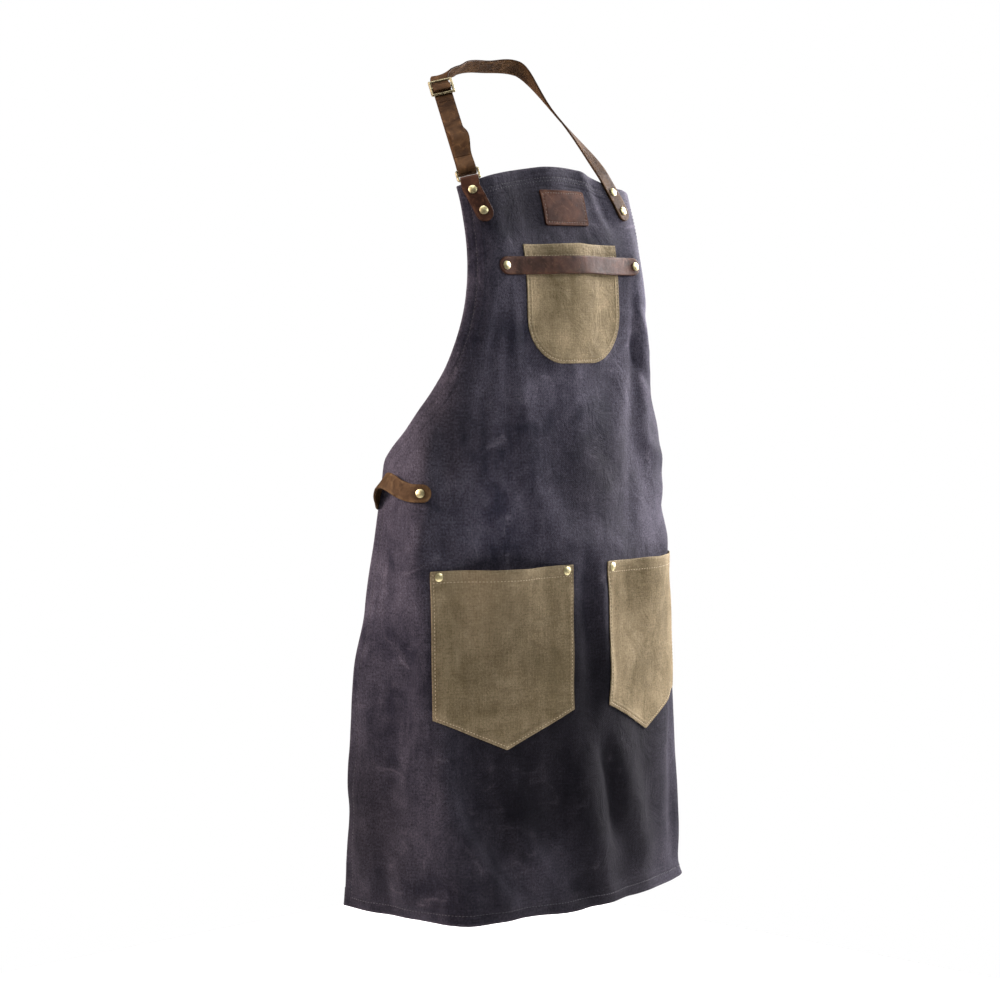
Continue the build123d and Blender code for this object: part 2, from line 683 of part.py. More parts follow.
def make_nodes():
    nodes = {
        "apron_body": make_apron_body(),
        "chest_pocket": make_chest_pocket(),
        "hip_pocket_right": make_hip_pocket(-1),
        "hip_pocket_left": make_hip_pocket(1),
        "chest_strap": make_chest_strap(),
        "label_patch": make_label_patch(),
        "ring_tab": make_ring_tab(),
        "strap_ring": make_strap_ring(),
        "neck_strap": make_neck_strap(),
        "strap_return_leg": make_strap_return_leg(),
        "strap_end_fold": make_strap_end_fold(),
        "slider": make_slider(),
        "waist_loop_right": make_waist_loop(-1),
        "waist_loop_left": make_waist_loop(1),
    }
    canvas_back = -CANVAS_FACE - RIVET_BACK_ROOM
    tab_back = -LAID_TOP - CURVE_ROOM
    loop_back = tab_back - LOOP_CLEARANCE - RIVET_BACK_ROOM
    nodes |= rivet_nodes("tab_rivet", [(plane, LAID_TOP, tab_back)
                                       for plane in seat_rivet_planes(TAB_SEAT)])
    nodes |= rivet_nodes("neck_rivet", [(plane, LAID_TOP, canvas_back)
                                        for plane in seat_rivet_planes(STRAP_SEAT)])
    nodes |= rivet_nodes("chest_strap_rivet", [(plane, LAID_TOP, canvas_back)
                                               for plane in chest_rivet_planes()])
    nodes |= rivet_nodes("waist_rivet", [(loop_rivet_plane(side), LOOP_TOP, loop_back)
                                         for side in (-1, 1)])
    nodes |= rivet_nodes("pocket_rivet", [(plane, POCKET_TOP, canvas_back)
                                          for plane in hip_rivet_planes()])
    return nodes


def main():
    os.makedirs("parts", exist_ok=True)
    for name, shape in make_nodes().items():
        shape = shape.moved(Location(-NECK_REST))
        shape.label = name
        export_step(shape, f"parts/{name}.step")


main()
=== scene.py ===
"""Looks of the butcher apron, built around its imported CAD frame.

Shapes are worked out in millimetres in the CAD source's own frame (heights from the hem) and
`row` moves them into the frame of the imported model, in metres. The dimensions below repeat
the CAD source's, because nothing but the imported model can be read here.
"""

import math
from dataclasses import dataclass

import bpy
import numpy as np
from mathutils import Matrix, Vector


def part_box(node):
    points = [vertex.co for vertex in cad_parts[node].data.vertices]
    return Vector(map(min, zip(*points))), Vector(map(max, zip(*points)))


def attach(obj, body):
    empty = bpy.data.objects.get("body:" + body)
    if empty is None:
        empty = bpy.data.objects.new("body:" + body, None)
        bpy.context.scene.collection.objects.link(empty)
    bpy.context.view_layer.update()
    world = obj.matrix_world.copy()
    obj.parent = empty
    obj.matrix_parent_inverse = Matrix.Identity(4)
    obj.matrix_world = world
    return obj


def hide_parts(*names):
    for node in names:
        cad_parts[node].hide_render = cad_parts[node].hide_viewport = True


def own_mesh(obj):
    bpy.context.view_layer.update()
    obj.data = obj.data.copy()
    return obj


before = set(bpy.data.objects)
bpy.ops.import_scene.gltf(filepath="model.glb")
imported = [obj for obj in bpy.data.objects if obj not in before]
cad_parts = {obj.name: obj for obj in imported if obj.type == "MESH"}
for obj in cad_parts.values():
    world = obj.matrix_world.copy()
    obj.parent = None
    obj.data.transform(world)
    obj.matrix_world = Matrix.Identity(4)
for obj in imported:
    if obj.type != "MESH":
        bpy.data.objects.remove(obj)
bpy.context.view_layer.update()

# ---------------- dimensions of the CAD source

CANVAS = 1.6
POCKET_CANVAS = 1.2
LEATHER = 2.2
STRAP_WIDTH = 20.0
WIRE = 3.0
RUNNING_GAP = 0.1
SEWN_GAP = 0.2

WAIST_HEIGHT = 500.0
TOP_HEIGHT = 821.0
TOP_CORNER_DROP = 24.0
HEM_HALF_WIDTH = 345.0
WAIST_HALF_WIDTH = 288.0
TOP_HALF_WIDTH = 138.0
ARMHOLE_LEAN = 20.0
ARMHOLE_CURVE = 4.0

HIP_POCKET = {"inner": 28.0, "outer": 204.0, "top": 384.0, "side_bottom": 225.0, "tip": 187.0}
HIP_POCKET_GAPE = 17.4
POCKET_RIVET_IN = 9.0
POCKET_RIVET_DOWN = 6.0
CHEST_POCKET = {"half_width": 73.5, "top": 735.0, "bottom": 606.0, "corner_radius": 52.0}
CHEST_POCKET_GAPE = 10.2
SEAM_SHARE = 0.09
GAPE_ROUNDNESS = 2.0
GAPE_RISE = 1.6
BOW_ROUNDNESS = 0.75
CHEST_STRAP_HEIGHT = 712.0
CHEST_STRAP_HALF_LENGTH = 111.0
CHEST_STRAP_BOW = 10.6
CHEST_RIVET_AT = 103.5
CHEST_STRAP_FLAT = 14.0
PATCH = {"width": 68.0, "height": 38.0, "middle": 776.0, "thickness": 1.8}

TAB_SEAT = {"across": -121.0, "height": 782.0, "lean": -13.5}
STRAP_SEAT = {"across": 94.0, "height": 785.0, "lean": -22.0}
TAB_RIVET_SPACING = 24.0
TAB_END = 12.0
TAB_RIVET_TO_RING = 13.5
RING_INNER_HEIGHT = 10.0
CURVE_ROOM = 2.2

NECK_REST = Vector((0, -12, 939))
NECK_FRONT = Vector((72, -62, 882))
NECK_HALF_WIDTH = 47.0
NECK_SIDE_DEPTH = -20.0
NECK_RIGHT_DROP = 7.0
STRAP_LEAVES_AT = 31.0
LEG_LENGTH = 117.0
LEG_CUT = 16.0
FOLD_INSIDE = 4.3
SLIDER_PITCH = 9.0
SLIDER_STAND_OFF = 2.5
FOLD_FRONT = 6.0
FOLD_BACK = 20.0

LOOP_HEIGHT = 467.5
LOOP_RIVET_ACROSS = 209.0
LOOP_END = 11.0
LOOP_CLEARANCE = 0.4
LOOP_PAST_EDGE = 5.0

CANVAS_FACE = CANVAS / 2
LAID_MIDDLE = CANVAS_FACE + SEWN_GAP + LEATHER / 2
LOOP_MIDDLE = LAID_MIDDLE + LOOP_CLEARANCE
POCKET_MIDDLE = CANVAS_FACE + SEWN_GAP + POCKET_CANVAS / 2
WRAP_INSIDE = WIRE / 2 + RUNNING_GAP
WRAP_MIDDLE = WRAP_INSIDE + LEATHER / 2

# Height, centre-line Y, then the right and the left side of the section at that height:
# front slope in degrees, front width, side slope in degrees, length of the turn between them.
LEVELS = [
    (0, -178, (9, 160, 86, 60), (12, 204, 80, 90)),            # hem
    (200, -182, (15, 192, 90, 60), (15, 190, 88, 90)),         # knee
    (384, -180, (18, 206, 100, 50), (14, 176, 98, 80)),        # hip
    (500, -172, (18, 195, 110, 60), (13, 172, 108, 80)),       # waist
    (607, -161.5, (9, 150, 92, 50), (8, 135, 90, 80)),         # under the chest
    (713, -150.5, (1, 112, 72, 60), (1, 114, 66, 50)),         # chest
    (775, -139, (3, 105, 60, 50), (3, 108, 50, 60)),           # label
    (824, -125, (8, 100, 44, 60), (7, 106, 34, 60)),           # top of the bib
]
FRONT_EASE = 0.35
TURN_LEAD = 0.3

# ---------------- dimensions of the looks

HEM_WIDTH = 20.0            # turned-in hem of the canvas
HEM_LAYER = 1.3             # thickness of its second layer
HEM_STITCH = 11.0           # stitch line from the edge
TOP_STITCHES = (11.5, 15.0)
CORNER_ROUND = 5.0          # softness of the corner where the armhole meets the side
POCKET_STITCH = 2.7         # stitch line from a pocket's sewn edges
POCKET_HEM = 16.0           # hem and stitch line at its mouth
POCKET_HEM_STITCH = 12.0
POCKET_TURNED = 9.0         # turned-in edges of a pocket
POCKET_LAYER = 0.22         # how much a second layer lifts the front
POCKET_SLACK = 0.7          # loose waviness of a pocket's front
GROOVE = 0.16               # depth of the groove at the sewn edges, and of the mouth's
MOUTH_GROOVE = 0.2
GROOVE_WIDTH = 1.8
POCKET_ROWS = 72
POCKET_COLUMNS = 80
PATCH_CORNER = 2.5
PATCH_STITCH = 3.0          # stitch line from the patch's edge, and the depth of its groove
PATCH_GROOVE = 0.22
LOOP_DROOP = 12.0           # how far a waist loop hangs below its rivet at the canvas's edge
LOOP_BEHIND = 5.0           # how far it stands off behind the canvas there
LEG_SLACK = 4.0             # how far the outer leg stands off the inner one
LEG_ASIDE = 3.0             # and to one side of it
LEG_SLACK_SHARE = 0.55      # along this share of it, from the ring
STITCH_PITCH = 4.0
STITCH_LENGTH = 2.5
STITCH_RADIUS = 0.4
SLUMP = 9.0                 # how far the bib's top edge slumps, between patch and strap
SLUMP_AT = 92.0
SLUMP_WIDTH = 44.0
HARDWARE_HOLD = 24.0        # cloth this near a rivet keeps the CAD's shape
LOW_PAINTED_SHADE_AND_WAX = 0.78             # share of its colour that the lower front loses: painted shade, partly dark wax
DARKEST = 0.8               # most that the painted shade and wax, with the painted spots, may take
FOLD_WANDER = 0.35          # how far a fold leaves its line, as a share of its width
FOLD_FADE = 0.3             # share of a fold's length over which each end fades
HOLLOW = 0.4                # depth of the hollow beside a fold, as a share of the fold's
FLUTES = 1.5                # depth of the flutes at the hem, and how far up they reach
FLUTE_REACH = 430.0
BROAD_RIPPLES = 0.55        # height of the small unevenness all over the cloth
FINE_RIPPLES = 0.35
FLOOR_DROP = 0.42           # metres between the hem and the floor
SIM_ROWS = 96               # the simulated grid
SIM_COLUMNS = 84
SIM_FRAMES = 22
SIM_CAP = 4.5               # most that the simulation may move a point
CLOTH_ROWS = 190            # the grid of the finished canvas
CLOTH_COLUMNS = 170
FAR_INSIDE = 10.0           # distance to the edge that a piece without worn edges is given


@dataclass
class Fold:
    """A soft ridge, or a valley where its depth is negative, along a line on the cloth."""

    start: tuple            # across, height
    end: tuple
    width: float
    depth: float


FOLDS = [
    Fold((22, 860), (74, 730), 9, 1.6),            # diagonal crease of the bib
    Fold((72, 870), (84, 752), 20, -1.6),          # dip of the top edge
    Fold((-40, 850), (-58, 742), 18, -1.2),
    Fold((96, 672), (150, 600), 9, 3.0),           # crumple where the chest turns
    Fold((86, 640), (142, 570), 8, -2.8),
    Fold((118, 690), (150, 560), 12, 2.6),
    Fold((-92, 690), (-130, 560), 16, 2.2),
    Fold((-205, 590), (-212, 330), 13, 3.4),       # corner between front and side
    Fold((-186, 560), (-190, 400), 12, -1.8),
    Fold((-214, 462), (-96, 540), 10, 1.8),        # pulls from the waist loops
    Fold((-222, 452), (-130, 392), 12, 1.6),
    Fold((214, 470), (90, 548), 11, 2.4),
    Fold((214, 452), (120, 400), 12, -1.8),
    Fold((-60, 600), (-10, 420), 20, -2.2),        # front of the waist
    Fold((60, 590), (20, 430), 22, 2.0),
    Fold((0, 420), (-6, 190), 15, -4.6),           # between the hip pockets
    Fold((18, 400), (26, 210), 9, 2.2),
    Fold((-24, 215), (44, -110), 26, 6.5),         # folds of the skirt
    Fold((14, 205), (60, 60), 12, -4.5),
    Fold((70, 210), (128, -110), 24, 6.0),
    Fold((-214, 190), (-96, -40), 15, 7.0),
    Fold((-186, 215), (-60, -10), 17, -6.5),
    Fold((-130, 120), (30, -60), 12, 3.6),
    Fold((-92, 150), (52, -30), 14, -3.6),
    Fold((186, 300), (206, -110), 17, -4.6),
    Fold((232, 420), (256, -120), 27, 6.0),
    Fold((-236, 420), (-250, 60), 15, -4.5),
    Fold((-262, 300), (-240, -110), 20, 5.0),
    Fold((-292, 430), (-306, -110), 20, 5.5),
    Fold((-330, 340), (-334, 105), 40, 8.0),
    Fold((290, 440), (312, -110), 20, 4.0),
]


@dataclass
class PaintedSpot:
    """A soft spot of painted shade on the canvas, or of painted light where `dark` is negative."""

    across: float
    height: float
    wide: float
    tall: float
    dark: float


# Soft spots of painted shade and painted light, by canvas.
PAINTED_SPOTS = {
    "waxed_canvas_navy": [
        PaintedSpot(-60, 780, 75, 42, 0.60),       # bib
        PaintedSpot(112, 765, 36, 60, -0.45),
        PaintedSpot(140, 690, 26, 60, -1.90),
        PaintedSpot(-185, 545, 50, 90, 0.40),      # chest and waist
        PaintedSpot(-15, 572, 60, 40, -0.30),
        PaintedSpot(-115, 437, 50, 60, -0.60),
        PaintedSpot(28, 480, 60, 60, 0.50),
        PaintedSpot(235, 480, 40, 120, -0.80),
        PaintedSpot(-300, 150, 70, 140, 0.35),     # skirt
        PaintedSpot(170, 130, 80, 120, 0.15),
        PaintedSpot(-70, 45, 60, 40, -0.30),
    ],
    "waxed_canvas_khaki": [
        PaintedSpot(-116, 300, 110, 120, 0.36),
        PaintedSpot(130, 300, 110, 120, 0.20),
        PaintedSpot(0, 670, 80, 70, -0.10),
    ],
}

# ---------------- the worn cloth


def smooth_step(values):
    """0 below 0, 1 above 1 and an S-shaped rise between them."""
    values = np.clip(values, 0, 1)
    return values * values * (3 - 2 * values)


def hermite(start, end, start_pull, end_pull, u):
    """Point on a curve that leaves `start` along one pull and reaches `end` along the other."""
    return (start * ((1 + 2 * u) * (1 - u) ** 2) + start_pull * (u * (1 - u) ** 2)
            + end * (u * u * (3 - 2 * u)) + end_pull * (u * u * (u - 1)))


def between(table, line, column, ease=lambda share: share):
    """Values of a table at places between its lines and columns."""
    line = np.clip(line, 0, table.shape[0] - 1.001)
    column = np.clip(column, 0, table.shape[1] - 1.001)
    i, j = line.astype(int), column.astype(int)
    u, v = ease(line - i)[..., None], ease(column - j)[..., None]
    low = table[i, j] * (1 - v) + table[i, j + 1] * v
    high = table[i + 1, j] * (1 - v) + table[i + 1, j + 1] * v
    return low * (1 - u) + high * u


def level_curve(heights, values):
    """Curve through one value of each level that never overshoots, at the given heights."""
    xs = np.array([level[0] for level in LEVELS], float)
    ys = np.array(values, float)
    rise = np.diff(ys) / np.diff(xs)
    slope = np.concatenate([rise[:1], np.zeros(len(rise) - 1), rise[-1:]])
    for i, (before, after) in enumerate(zip(rise, rise[1:])):
        if before * after > 0:
            slope[i + 1] = 2 * before * after / (before + after)
    heights = np.clip(heights, xs[0], xs[-1])
    i = np.clip(np.searchsorted(xs, heights) - 1, 0, len(rise) - 1)
    step = xs[i + 1] - xs[i]
    return hermite(ys[i], ys[i + 1], step * slope[i], step * slope[i + 1], (heights - xs[i]) / step)


def half_width(height):
    """Half the width of the apron, measured along the cloth."""
    height = np.asarray(height, float)
    skirt = HEM_HALF_WIDTH + (WAIST_HALF_WIDTH - HEM_HALF_WIDTH) * height / WAIST_HEIGHT
    down = np.clip((TOP_HEIGHT - height) / (TOP_HEIGHT - WAIST_HEIGHT), 0, 1.5)
    flare = WAIST_HALF_WIDTH - TOP_HALF_WIDTH - ARMHOLE_LEAN
    bib = TOP_HALF_WIDTH + ARMHOLE_LEAN * down + flare * down ** ARMHOLE_CURVE
    return -CORNER_ROUND * np.logaddexp(-skirt / CORNER_ROUND, -bib / CORNER_ROUND)


def unit(vectors):
    """The same directions, one long."""
    return vectors / np.linalg.norm(vectors, axis=-1, keepdims=True)


class Cloth:
    """Middle surface of the canvas, as a table over height and distance across."""

    STEP = 3.0              # between the table's heights; across, it is 1 mm
    REACH = 372

    def __init__(self):
        self.heights = np.arange(0, TOP_HEIGHT + 2 * self.STEP, self.STEP)
        self.across = np.arange(-self.REACH, self.REACH + 1.0)
        depth = level_curve(self.heights, [level[1] for level in LEVELS])
        right, left = (self.half_section(index) for index in (2, 3))
        x = np.concatenate([-right[0][:, :0:-1], left[0]], axis=1)
        y = np.concatenate([right[1][:, :0:-1], left[1]], axis=1) + depth[:, None]
        z = np.broadcast_to(self.heights[:, None], x.shape)
        self.points = np.stack([x, y, z], axis=-1)
        self.find_normals()

    def half_section(self, index):
        """X and Y of one side at every height, a millimetre apart from the centre line out."""
        front_slope, front_width, side_slope, turn = (
            level_curve(self.heights, [level[index][k] for level in LEVELS])[:, None]
            for k in range(4))
        out = np.arange(self.REACH)[None, :] + 0.5
        front = np.radians(front_slope) * np.minimum(out / (FRONT_EASE * front_width), 1)
        turned = smooth_step((out - front_width) / turn + TURN_LEAD)
        slope = front + np.radians(side_slope - front_slope) * turned
        start = np.zeros((len(self.heights), 1))
        return (np.concatenate([start, np.cumsum(np.cos(slope), axis=1)], axis=1),
                np.concatenate([start, np.cumsum(np.sin(slope), axis=1)], axis=1))

    def find_normals(self):
        up = np.gradient(self.points, self.STEP, axis=0)
        along = np.gradient(self.points, 1.0, axis=1)
        self.normals = unit(np.cross(along, up))

    def sample(self, table, across, height):
        """Values of one of the cloth's tables at places on it."""
        across, height = np.broadcast_arrays(np.asarray(across, float), np.asarray(height, float))
        return between(table, height / self.STEP, across + self.REACH)

    def normal(self, across, height):
        return unit(self.sample(self.normals, across, height))

    def at(self, across, height, out=0.0):
        """Points `out` mm in front of the middle of the canvas."""
        normal = self.normal(across, height)
        return self.sample(self.points, across, height) + normal * np.asarray(out)[..., None]

    def shift(self, moves):
        """Moves the whole table by a (height, across, 3) array."""
        self.points = self.points + moves
        self.find_normals()


class Plane:
    """A point with three directions at right angles, like a plane in the CAD source."""

    def __init__(self, origin, x, z):
        self.origin = Vector(origin)
        self.z = Vector(z).normalized()
        across = Vector(x)
        self.x = (across - self.z * across.dot(self.z)).normalized()
        self.y = self.z.cross(self.x)

    def point(self, x=0.0, y=0.0, z=0.0):
        return self.origin + self.x * x + self.y * y + self.z * z

    def shifted(self, x=0.0, y=0.0, z=0.0, turn=0.0):
        """The plane moved, then turned about its Z by degrees."""
        angle = math.radians(turn)
        across = self.x * math.cos(angle) + self.y * math.sin(angle)
        return Plane(self.point(x, y, z), across, self.z)

    def half_turn(self, radius, count):
        """Half a circle from the Z side, over the top, to the other side."""
        return [self.point(y=radius * math.sin(angle), z=radius * math.cos(angle))
                for angle in np.linspace(0, math.pi, count)]


STILL = Cloth()             # the cloth exactly as the CAD source has it
cloth = Cloth()             # the same with its folds, once `make_apron` has hung it


def cloth_plane(across, height):
    """Plane on the CAD's canvas: X along the cloth to the wearer's left, Z out of it."""
    def middle(a, h):
        return Vector(STILL.at(a, h))
    along = middle(across + 1, height) - middle(across - 1, height)
    up = middle(across, height + 1) - middle(across, max(height - 1, 0))
    return Plane(middle(across, height), along, along.cross(up))


def seat_plane(seat, y=0.0):
    """Plane on the canvas `y` mm up a leather end from its middle; its Y runs up the leather."""
    lean = math.radians(seat["lean"])
    middle = cloth_plane(seat["across"], seat["height"])
    across = seat["across"] + y * math.sin(lean)
    height = seat["height"] + y * math.cos(lean) * middle.y.z
    return cloth_plane(across, height).shifted(turn=-seat["lean"])


# ---------------- folds


def seat_spots(seat):
    """Places across and up the cloth that a leather end's rivets hold."""
    lean = math.radians(seat["lean"])
    return [(seat["across"] + y * math.sin(lean), seat["height"] + y * math.cos(lean))
            for y in (-12, 12, 30)]


def held_spots():
    """Places on the cloth that hardware or a stiff patch holds in the CAD's shape."""
    pocket_rivets = (HIP_POCKET["inner"] + POCKET_RIVET_IN, HIP_POCKET["outer"] - POCKET_RIVET_IN)
    spots = seat_spots(TAB_SEAT) + seat_spots(STRAP_SEAT)
    for side in (-1, 1):
        spots += [(side * x, HIP_POCKET["top"] - POCKET_RIVET_DOWN) for x in pocket_rivets]
        spots += [(side * CHEST_RIVET_AT, CHEST_STRAP_HEIGHT)]
        spots += [(side * (LOOP_RIVET_ACROSS + x), LOOP_HEIGHT) for x in (0, 20, 40, 60, 76)]
    spots += [(x, PATCH["middle"]) for x in (-28, 0, 28)]
    return spots


def freedom(across, height):
    """How free the cloth is to leave the CAD's shape: 0 at hardware, 1 away from it."""
    free = np.ones(np.broadcast(across, height).shape)
    for spot_across, spot_height in held_spots():
        distance = np.hypot(across - spot_across, height - spot_height)
        free *= smooth_step((distance - 7) / HARDWARE_HOLD)
    return free


def fold_lift(fold, across, height):
    """Lift of one fold: a wandering ridge with a shallow hollow along one side."""
    start, end = np.array(fold.start, float), np.array(fold.end, float)
    line = end - start
    length = np.linalg.norm(line)
    ahead = ((across - start[0]) * line[0] + (height - start[1]) * line[1]) / length ** 2
    beside = ((height - start[1]) * line[0] - (across - start[0]) * line[1]) / length
    wander = FOLD_WANDER * fold.width * np.sin(ahead * 7 + start[0])
    side = (beside + wander) / fold.width
    fade = smooth_step(ahead / FOLD_FADE) * smooth_step((1 - ahead) / FOLD_FADE)
    return fold.depth * fade * (np.exp(-side ** 2) - HOLLOW * np.exp(-((side - 1.8) / 0.9) ** 2))


def fold_height(across, height):
    """How far the folds, the hem's flutes and small ripples lift the cloth, in mm."""
    lift = sum(fold_lift(fold, across, height) for fold in FOLDS)
    lift = lift * (0.5 + 0.5 * smooth_step(height / 70))
    flute = np.clip(1 - height / FLUTE_REACH, 0, 1) ** 2
    lift += FLUTES * flute * np.sin(across / 47 + 0.8 * np.sin(height / 90))
    broad = np.sin(across / 17 + 2 * np.sin(height / 41)) * np.sin(height / 29 + across / 60)
    fine = np.sin(height / 11 + 3 * np.sin(across / 37)) * np.sin(across / 23)
    return lift + BROAD_RIPPLES * broad + FINE_RIPPLES * fine


def hang_folds():
    """Lays the folds over the cloth and lets the bib's top edge slump on the wearer's left."""
    across, height = cloth.across[None, :], cloth.heights[:, None]
    free = freedom(across, height)
    moves = cloth.normals * (fold_height(across, height) * free)[..., None]
    slump = np.exp(-((across - SLUMP_AT) / SLUMP_WIDTH) ** 2) * smooth_step((height - 740) / 80)
    slide = STILL.at(across, height - SLUMP * slump) - STILL.points
    cloth.shift(moves + slide)


# ---------------- meshes


def row(points):
    """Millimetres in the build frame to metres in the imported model's frame."""
    return (np.asarray(points, float).reshape(-1, 3) - np.array(NECK_REST)) / 1000


def painted_shade_and_wax(material, across, height):
    """How much darker a canvas is painted: painted shade low on its front and near the hem, partly
    dark wax, and soft spots of painted shade and painted light.
    """
    shade = np.zeros(np.broadcast(across, height).shape)
    if material == canvas_navy:
        # Painted shade low on the front and near the hem, partly dark wax.
        low = smooth_step((450 - height) / 190)
        front = np.exp(-((across + 10) / 200) ** 4)
        hem = 0.5 * smooth_step((260 - height) / 200)
        shade += LOW_PAINTED_SHADE_AND_WAX * low * np.maximum(front, hem)
    # Soft spots of painted shade, and of painted light where `dark` is negative.
    for tone in PAINTED_SPOTS[material.name]:
        spot = ((across - tone.across) / tone.wide) ** 2 + ((height - tone.height) / tone.tall) ** 2
        shade += tone.dark * np.exp(-spot)
    return np.minimum(shade, DARKEST)


def add_attribute(mesh, name, values):
    """One number for each vertex, which a material can read."""
    attribute = mesh.attributes.new(name, "FLOAT", "POINT")
    attribute.data.foreach_set("value", np.asarray(values, float).ravel().astype(np.float32))


def add_object(name, data):
    """Scene object for a mesh, a light or a camera."""
    made = bpy.data.objects.new(name, data)
    bpy.context.scene.collection.objects.link(made)
    return made


def make_piece(name, points, faces, material, edge=None, uv=None):
    """Mesh object with a distance to its own edge and UVs, both given in mm per vertex."""
    mesh = bpy.data.meshes.new(name)
    mesh.from_pydata([tuple(p) for p in row(points)], [], [tuple(int(i) for i in f) for f in faces])
    mesh.update()
    mesh.shade_smooth()
    if uv is not None:
        uv = np.asarray(uv, float).reshape(-1, 2)
        corners = np.empty(len(mesh.loops), int)
        mesh.loops.foreach_get("vertex_index", corners)
        layer = mesh.uv_layers.new(name="UVMap")
        layer.data.foreach_set("uv", (uv[corners] / 1000).ravel())
    if edge is None:
        edge = np.full(len(mesh.vertices), FAR_INSIDE)
    add_attribute(mesh, "edge_mm", edge)
    # Canvases get painted shade and painted light as their "shade" attribute.
    if material.name in PAINTED_SPOTS:
        add_attribute(mesh, "shade", painted_shade_and_wax(material, *uv.T))
    mesh.materials.append(material)
    return add_object(name, mesh)


def grid_faces(rows, columns, start=0, flip=False):
    """Quads between the points of a grid whose first point has the index `start`."""
    i = np.arange(rows - 1)[:, None] * columns + np.arange(columns - 1)[None, :] + start
    quads = np.stack([i, i + 1, i + columns + 1, i + columns], axis=-1).reshape(-1, 4)
    return quads[:, ::-1] if flip else quads


def rim_indices(rows, columns):
    """Vertices round a grid's border, once each."""
    grid = np.arange(rows * columns).reshape(rows, columns)
    return np.concatenate([grid[0, :-1], grid[:-1, -1], grid[-1, :0:-1], grid[:0:-1, 0]])


def rim_neighbours(rows, columns):
    """The vertex just inside each vertex of `rim_indices`."""
    grid = np.arange(rows * columns).reshape(rows, columns)
    inside = grid[np.clip(np.arange(rows), 1, rows - 2)[:, None],
                  np.clip(np.arange(columns), 1, columns - 2)[None, :]]
    return inside.ravel()[rim_indices(rows, columns)]


def make_shell(name, middle, normals, thickness, material, edge, uv):
    """Closed sheet with a rounded rim, from a grid of points in the middle of its thickness."""
    rows, columns = middle.shape[:2]
    half = thickness / 2
    front = (middle + normals * half).reshape(-1, 3)
    back = (middle - normals * half).reshape(-1, 3)
    rim = rim_indices(rows, columns)
    flat = middle.reshape(-1, 3)
    outward = unit(flat[rim] - flat[rim_neighbours(rows, columns)])
    bulge = flat[rim] + outward * half * 0.8
    count = rows * columns
    faces = [*grid_faces(rows, columns), *grid_faces(rows, columns, count, flip=True)]
    ring = 2 * count + np.arange(len(rim))
    ring_next, rim_next = np.roll(ring, -1), np.roll(rim, -1)
    faces += list(zip(ring, ring_next, rim_next, rim))
    faces += list(zip(rim + count, rim_next + count, ring_next, ring))
    edge, uv = np.asarray(edge).ravel(), np.asarray(uv).reshape(-1, 2)
    points = np.concatenate([front, back, bulge])
    return make_piece(name, points, faces, material,
                      np.concatenate([edge, edge, edge[rim] - half]),
                      np.concatenate([uv, uv, uv[rim]]))


def smooth_path(points, widths, step):
    """A finer path through the points, with the direction across it at each new point."""
    points = np.array([tuple(p) for p in points], float)
    widths = unit(np.array([tuple(w) for w in widths], float))
    padded = np.concatenate([2 * points[:1] - points[1:2], points, 2 * points[-1:] - points[-2:-1]])
    fine, across = [], []
    for i in range(len(points) - 1):
        a, b, c, d = padded[i:i + 4]
        pieces = max(1, math.ceil(np.linalg.norm(c - b) / step))
        for k in range(pieces):
            t = k / pieces
            fine.append(0.5 * (2 * b + (c - a) * t + (2 * a - 5 * b + 4 * c - d) * t ** 2
                               + (3 * b - a - 3 * c + d) * t ** 3))
            across.append(widths[i] * (1 - t) + widths[i + 1] * t)
    fine.append(points[-1])
    across.append(widths[-1])
    return np.array(fine), unit(np.array(across))


def strap_profile(thickness):
    """Outline of a strap's section with worn corners: across from -1 to 1, out in mm, edge."""
    half, inset = thickness / 2, 0.6
    side = [(1.0, -half + inset, 0.0), (1.0, half - inset, 0.0), (0.97, half - 0.15, 0.3)]
    places = (0.93, 0.75, 0.5, 0.25, 0, -0.25, -0.5, -0.75, -0.93)
    top = [(x, half, 10 * (1 - abs(x))) for x in places]
    upper = side + top + [(-0.97, half - 0.15, 0.3)]
    lower = [(-x, -out, distance) for x, out, distance in upper]
    return upper + lower


def travelled(points):
    """Length of a path from its start to each of its points."""
    return np.concatenate([[0], np.cumsum(np.linalg.norm(np.diff(points, axis=0), axis=1))])


def along(values, lengths, where):
    """Values of a path's points at other lengths along it."""
    return np.stack([np.interp(where, lengths, values[:, k]) for k in range(3)], axis=1)


def strap_stations(lengths, radius, round_start, round_end):
    """Lengths along a strap where its sections lie, which are closer together in round ends."""
    turn = radius * (1 - np.cos(np.linspace(0.06, math.pi / 2, 12)))
    total, stations = lengths[-1], lengths
    if round_start:
        stations = np.concatenate([turn, stations[stations > radius + 0.3]])
    if round_end:
        stations = np.concatenate([stations[stations < total - radius - 0.3], (total - turn)[::-1]])
    return stations


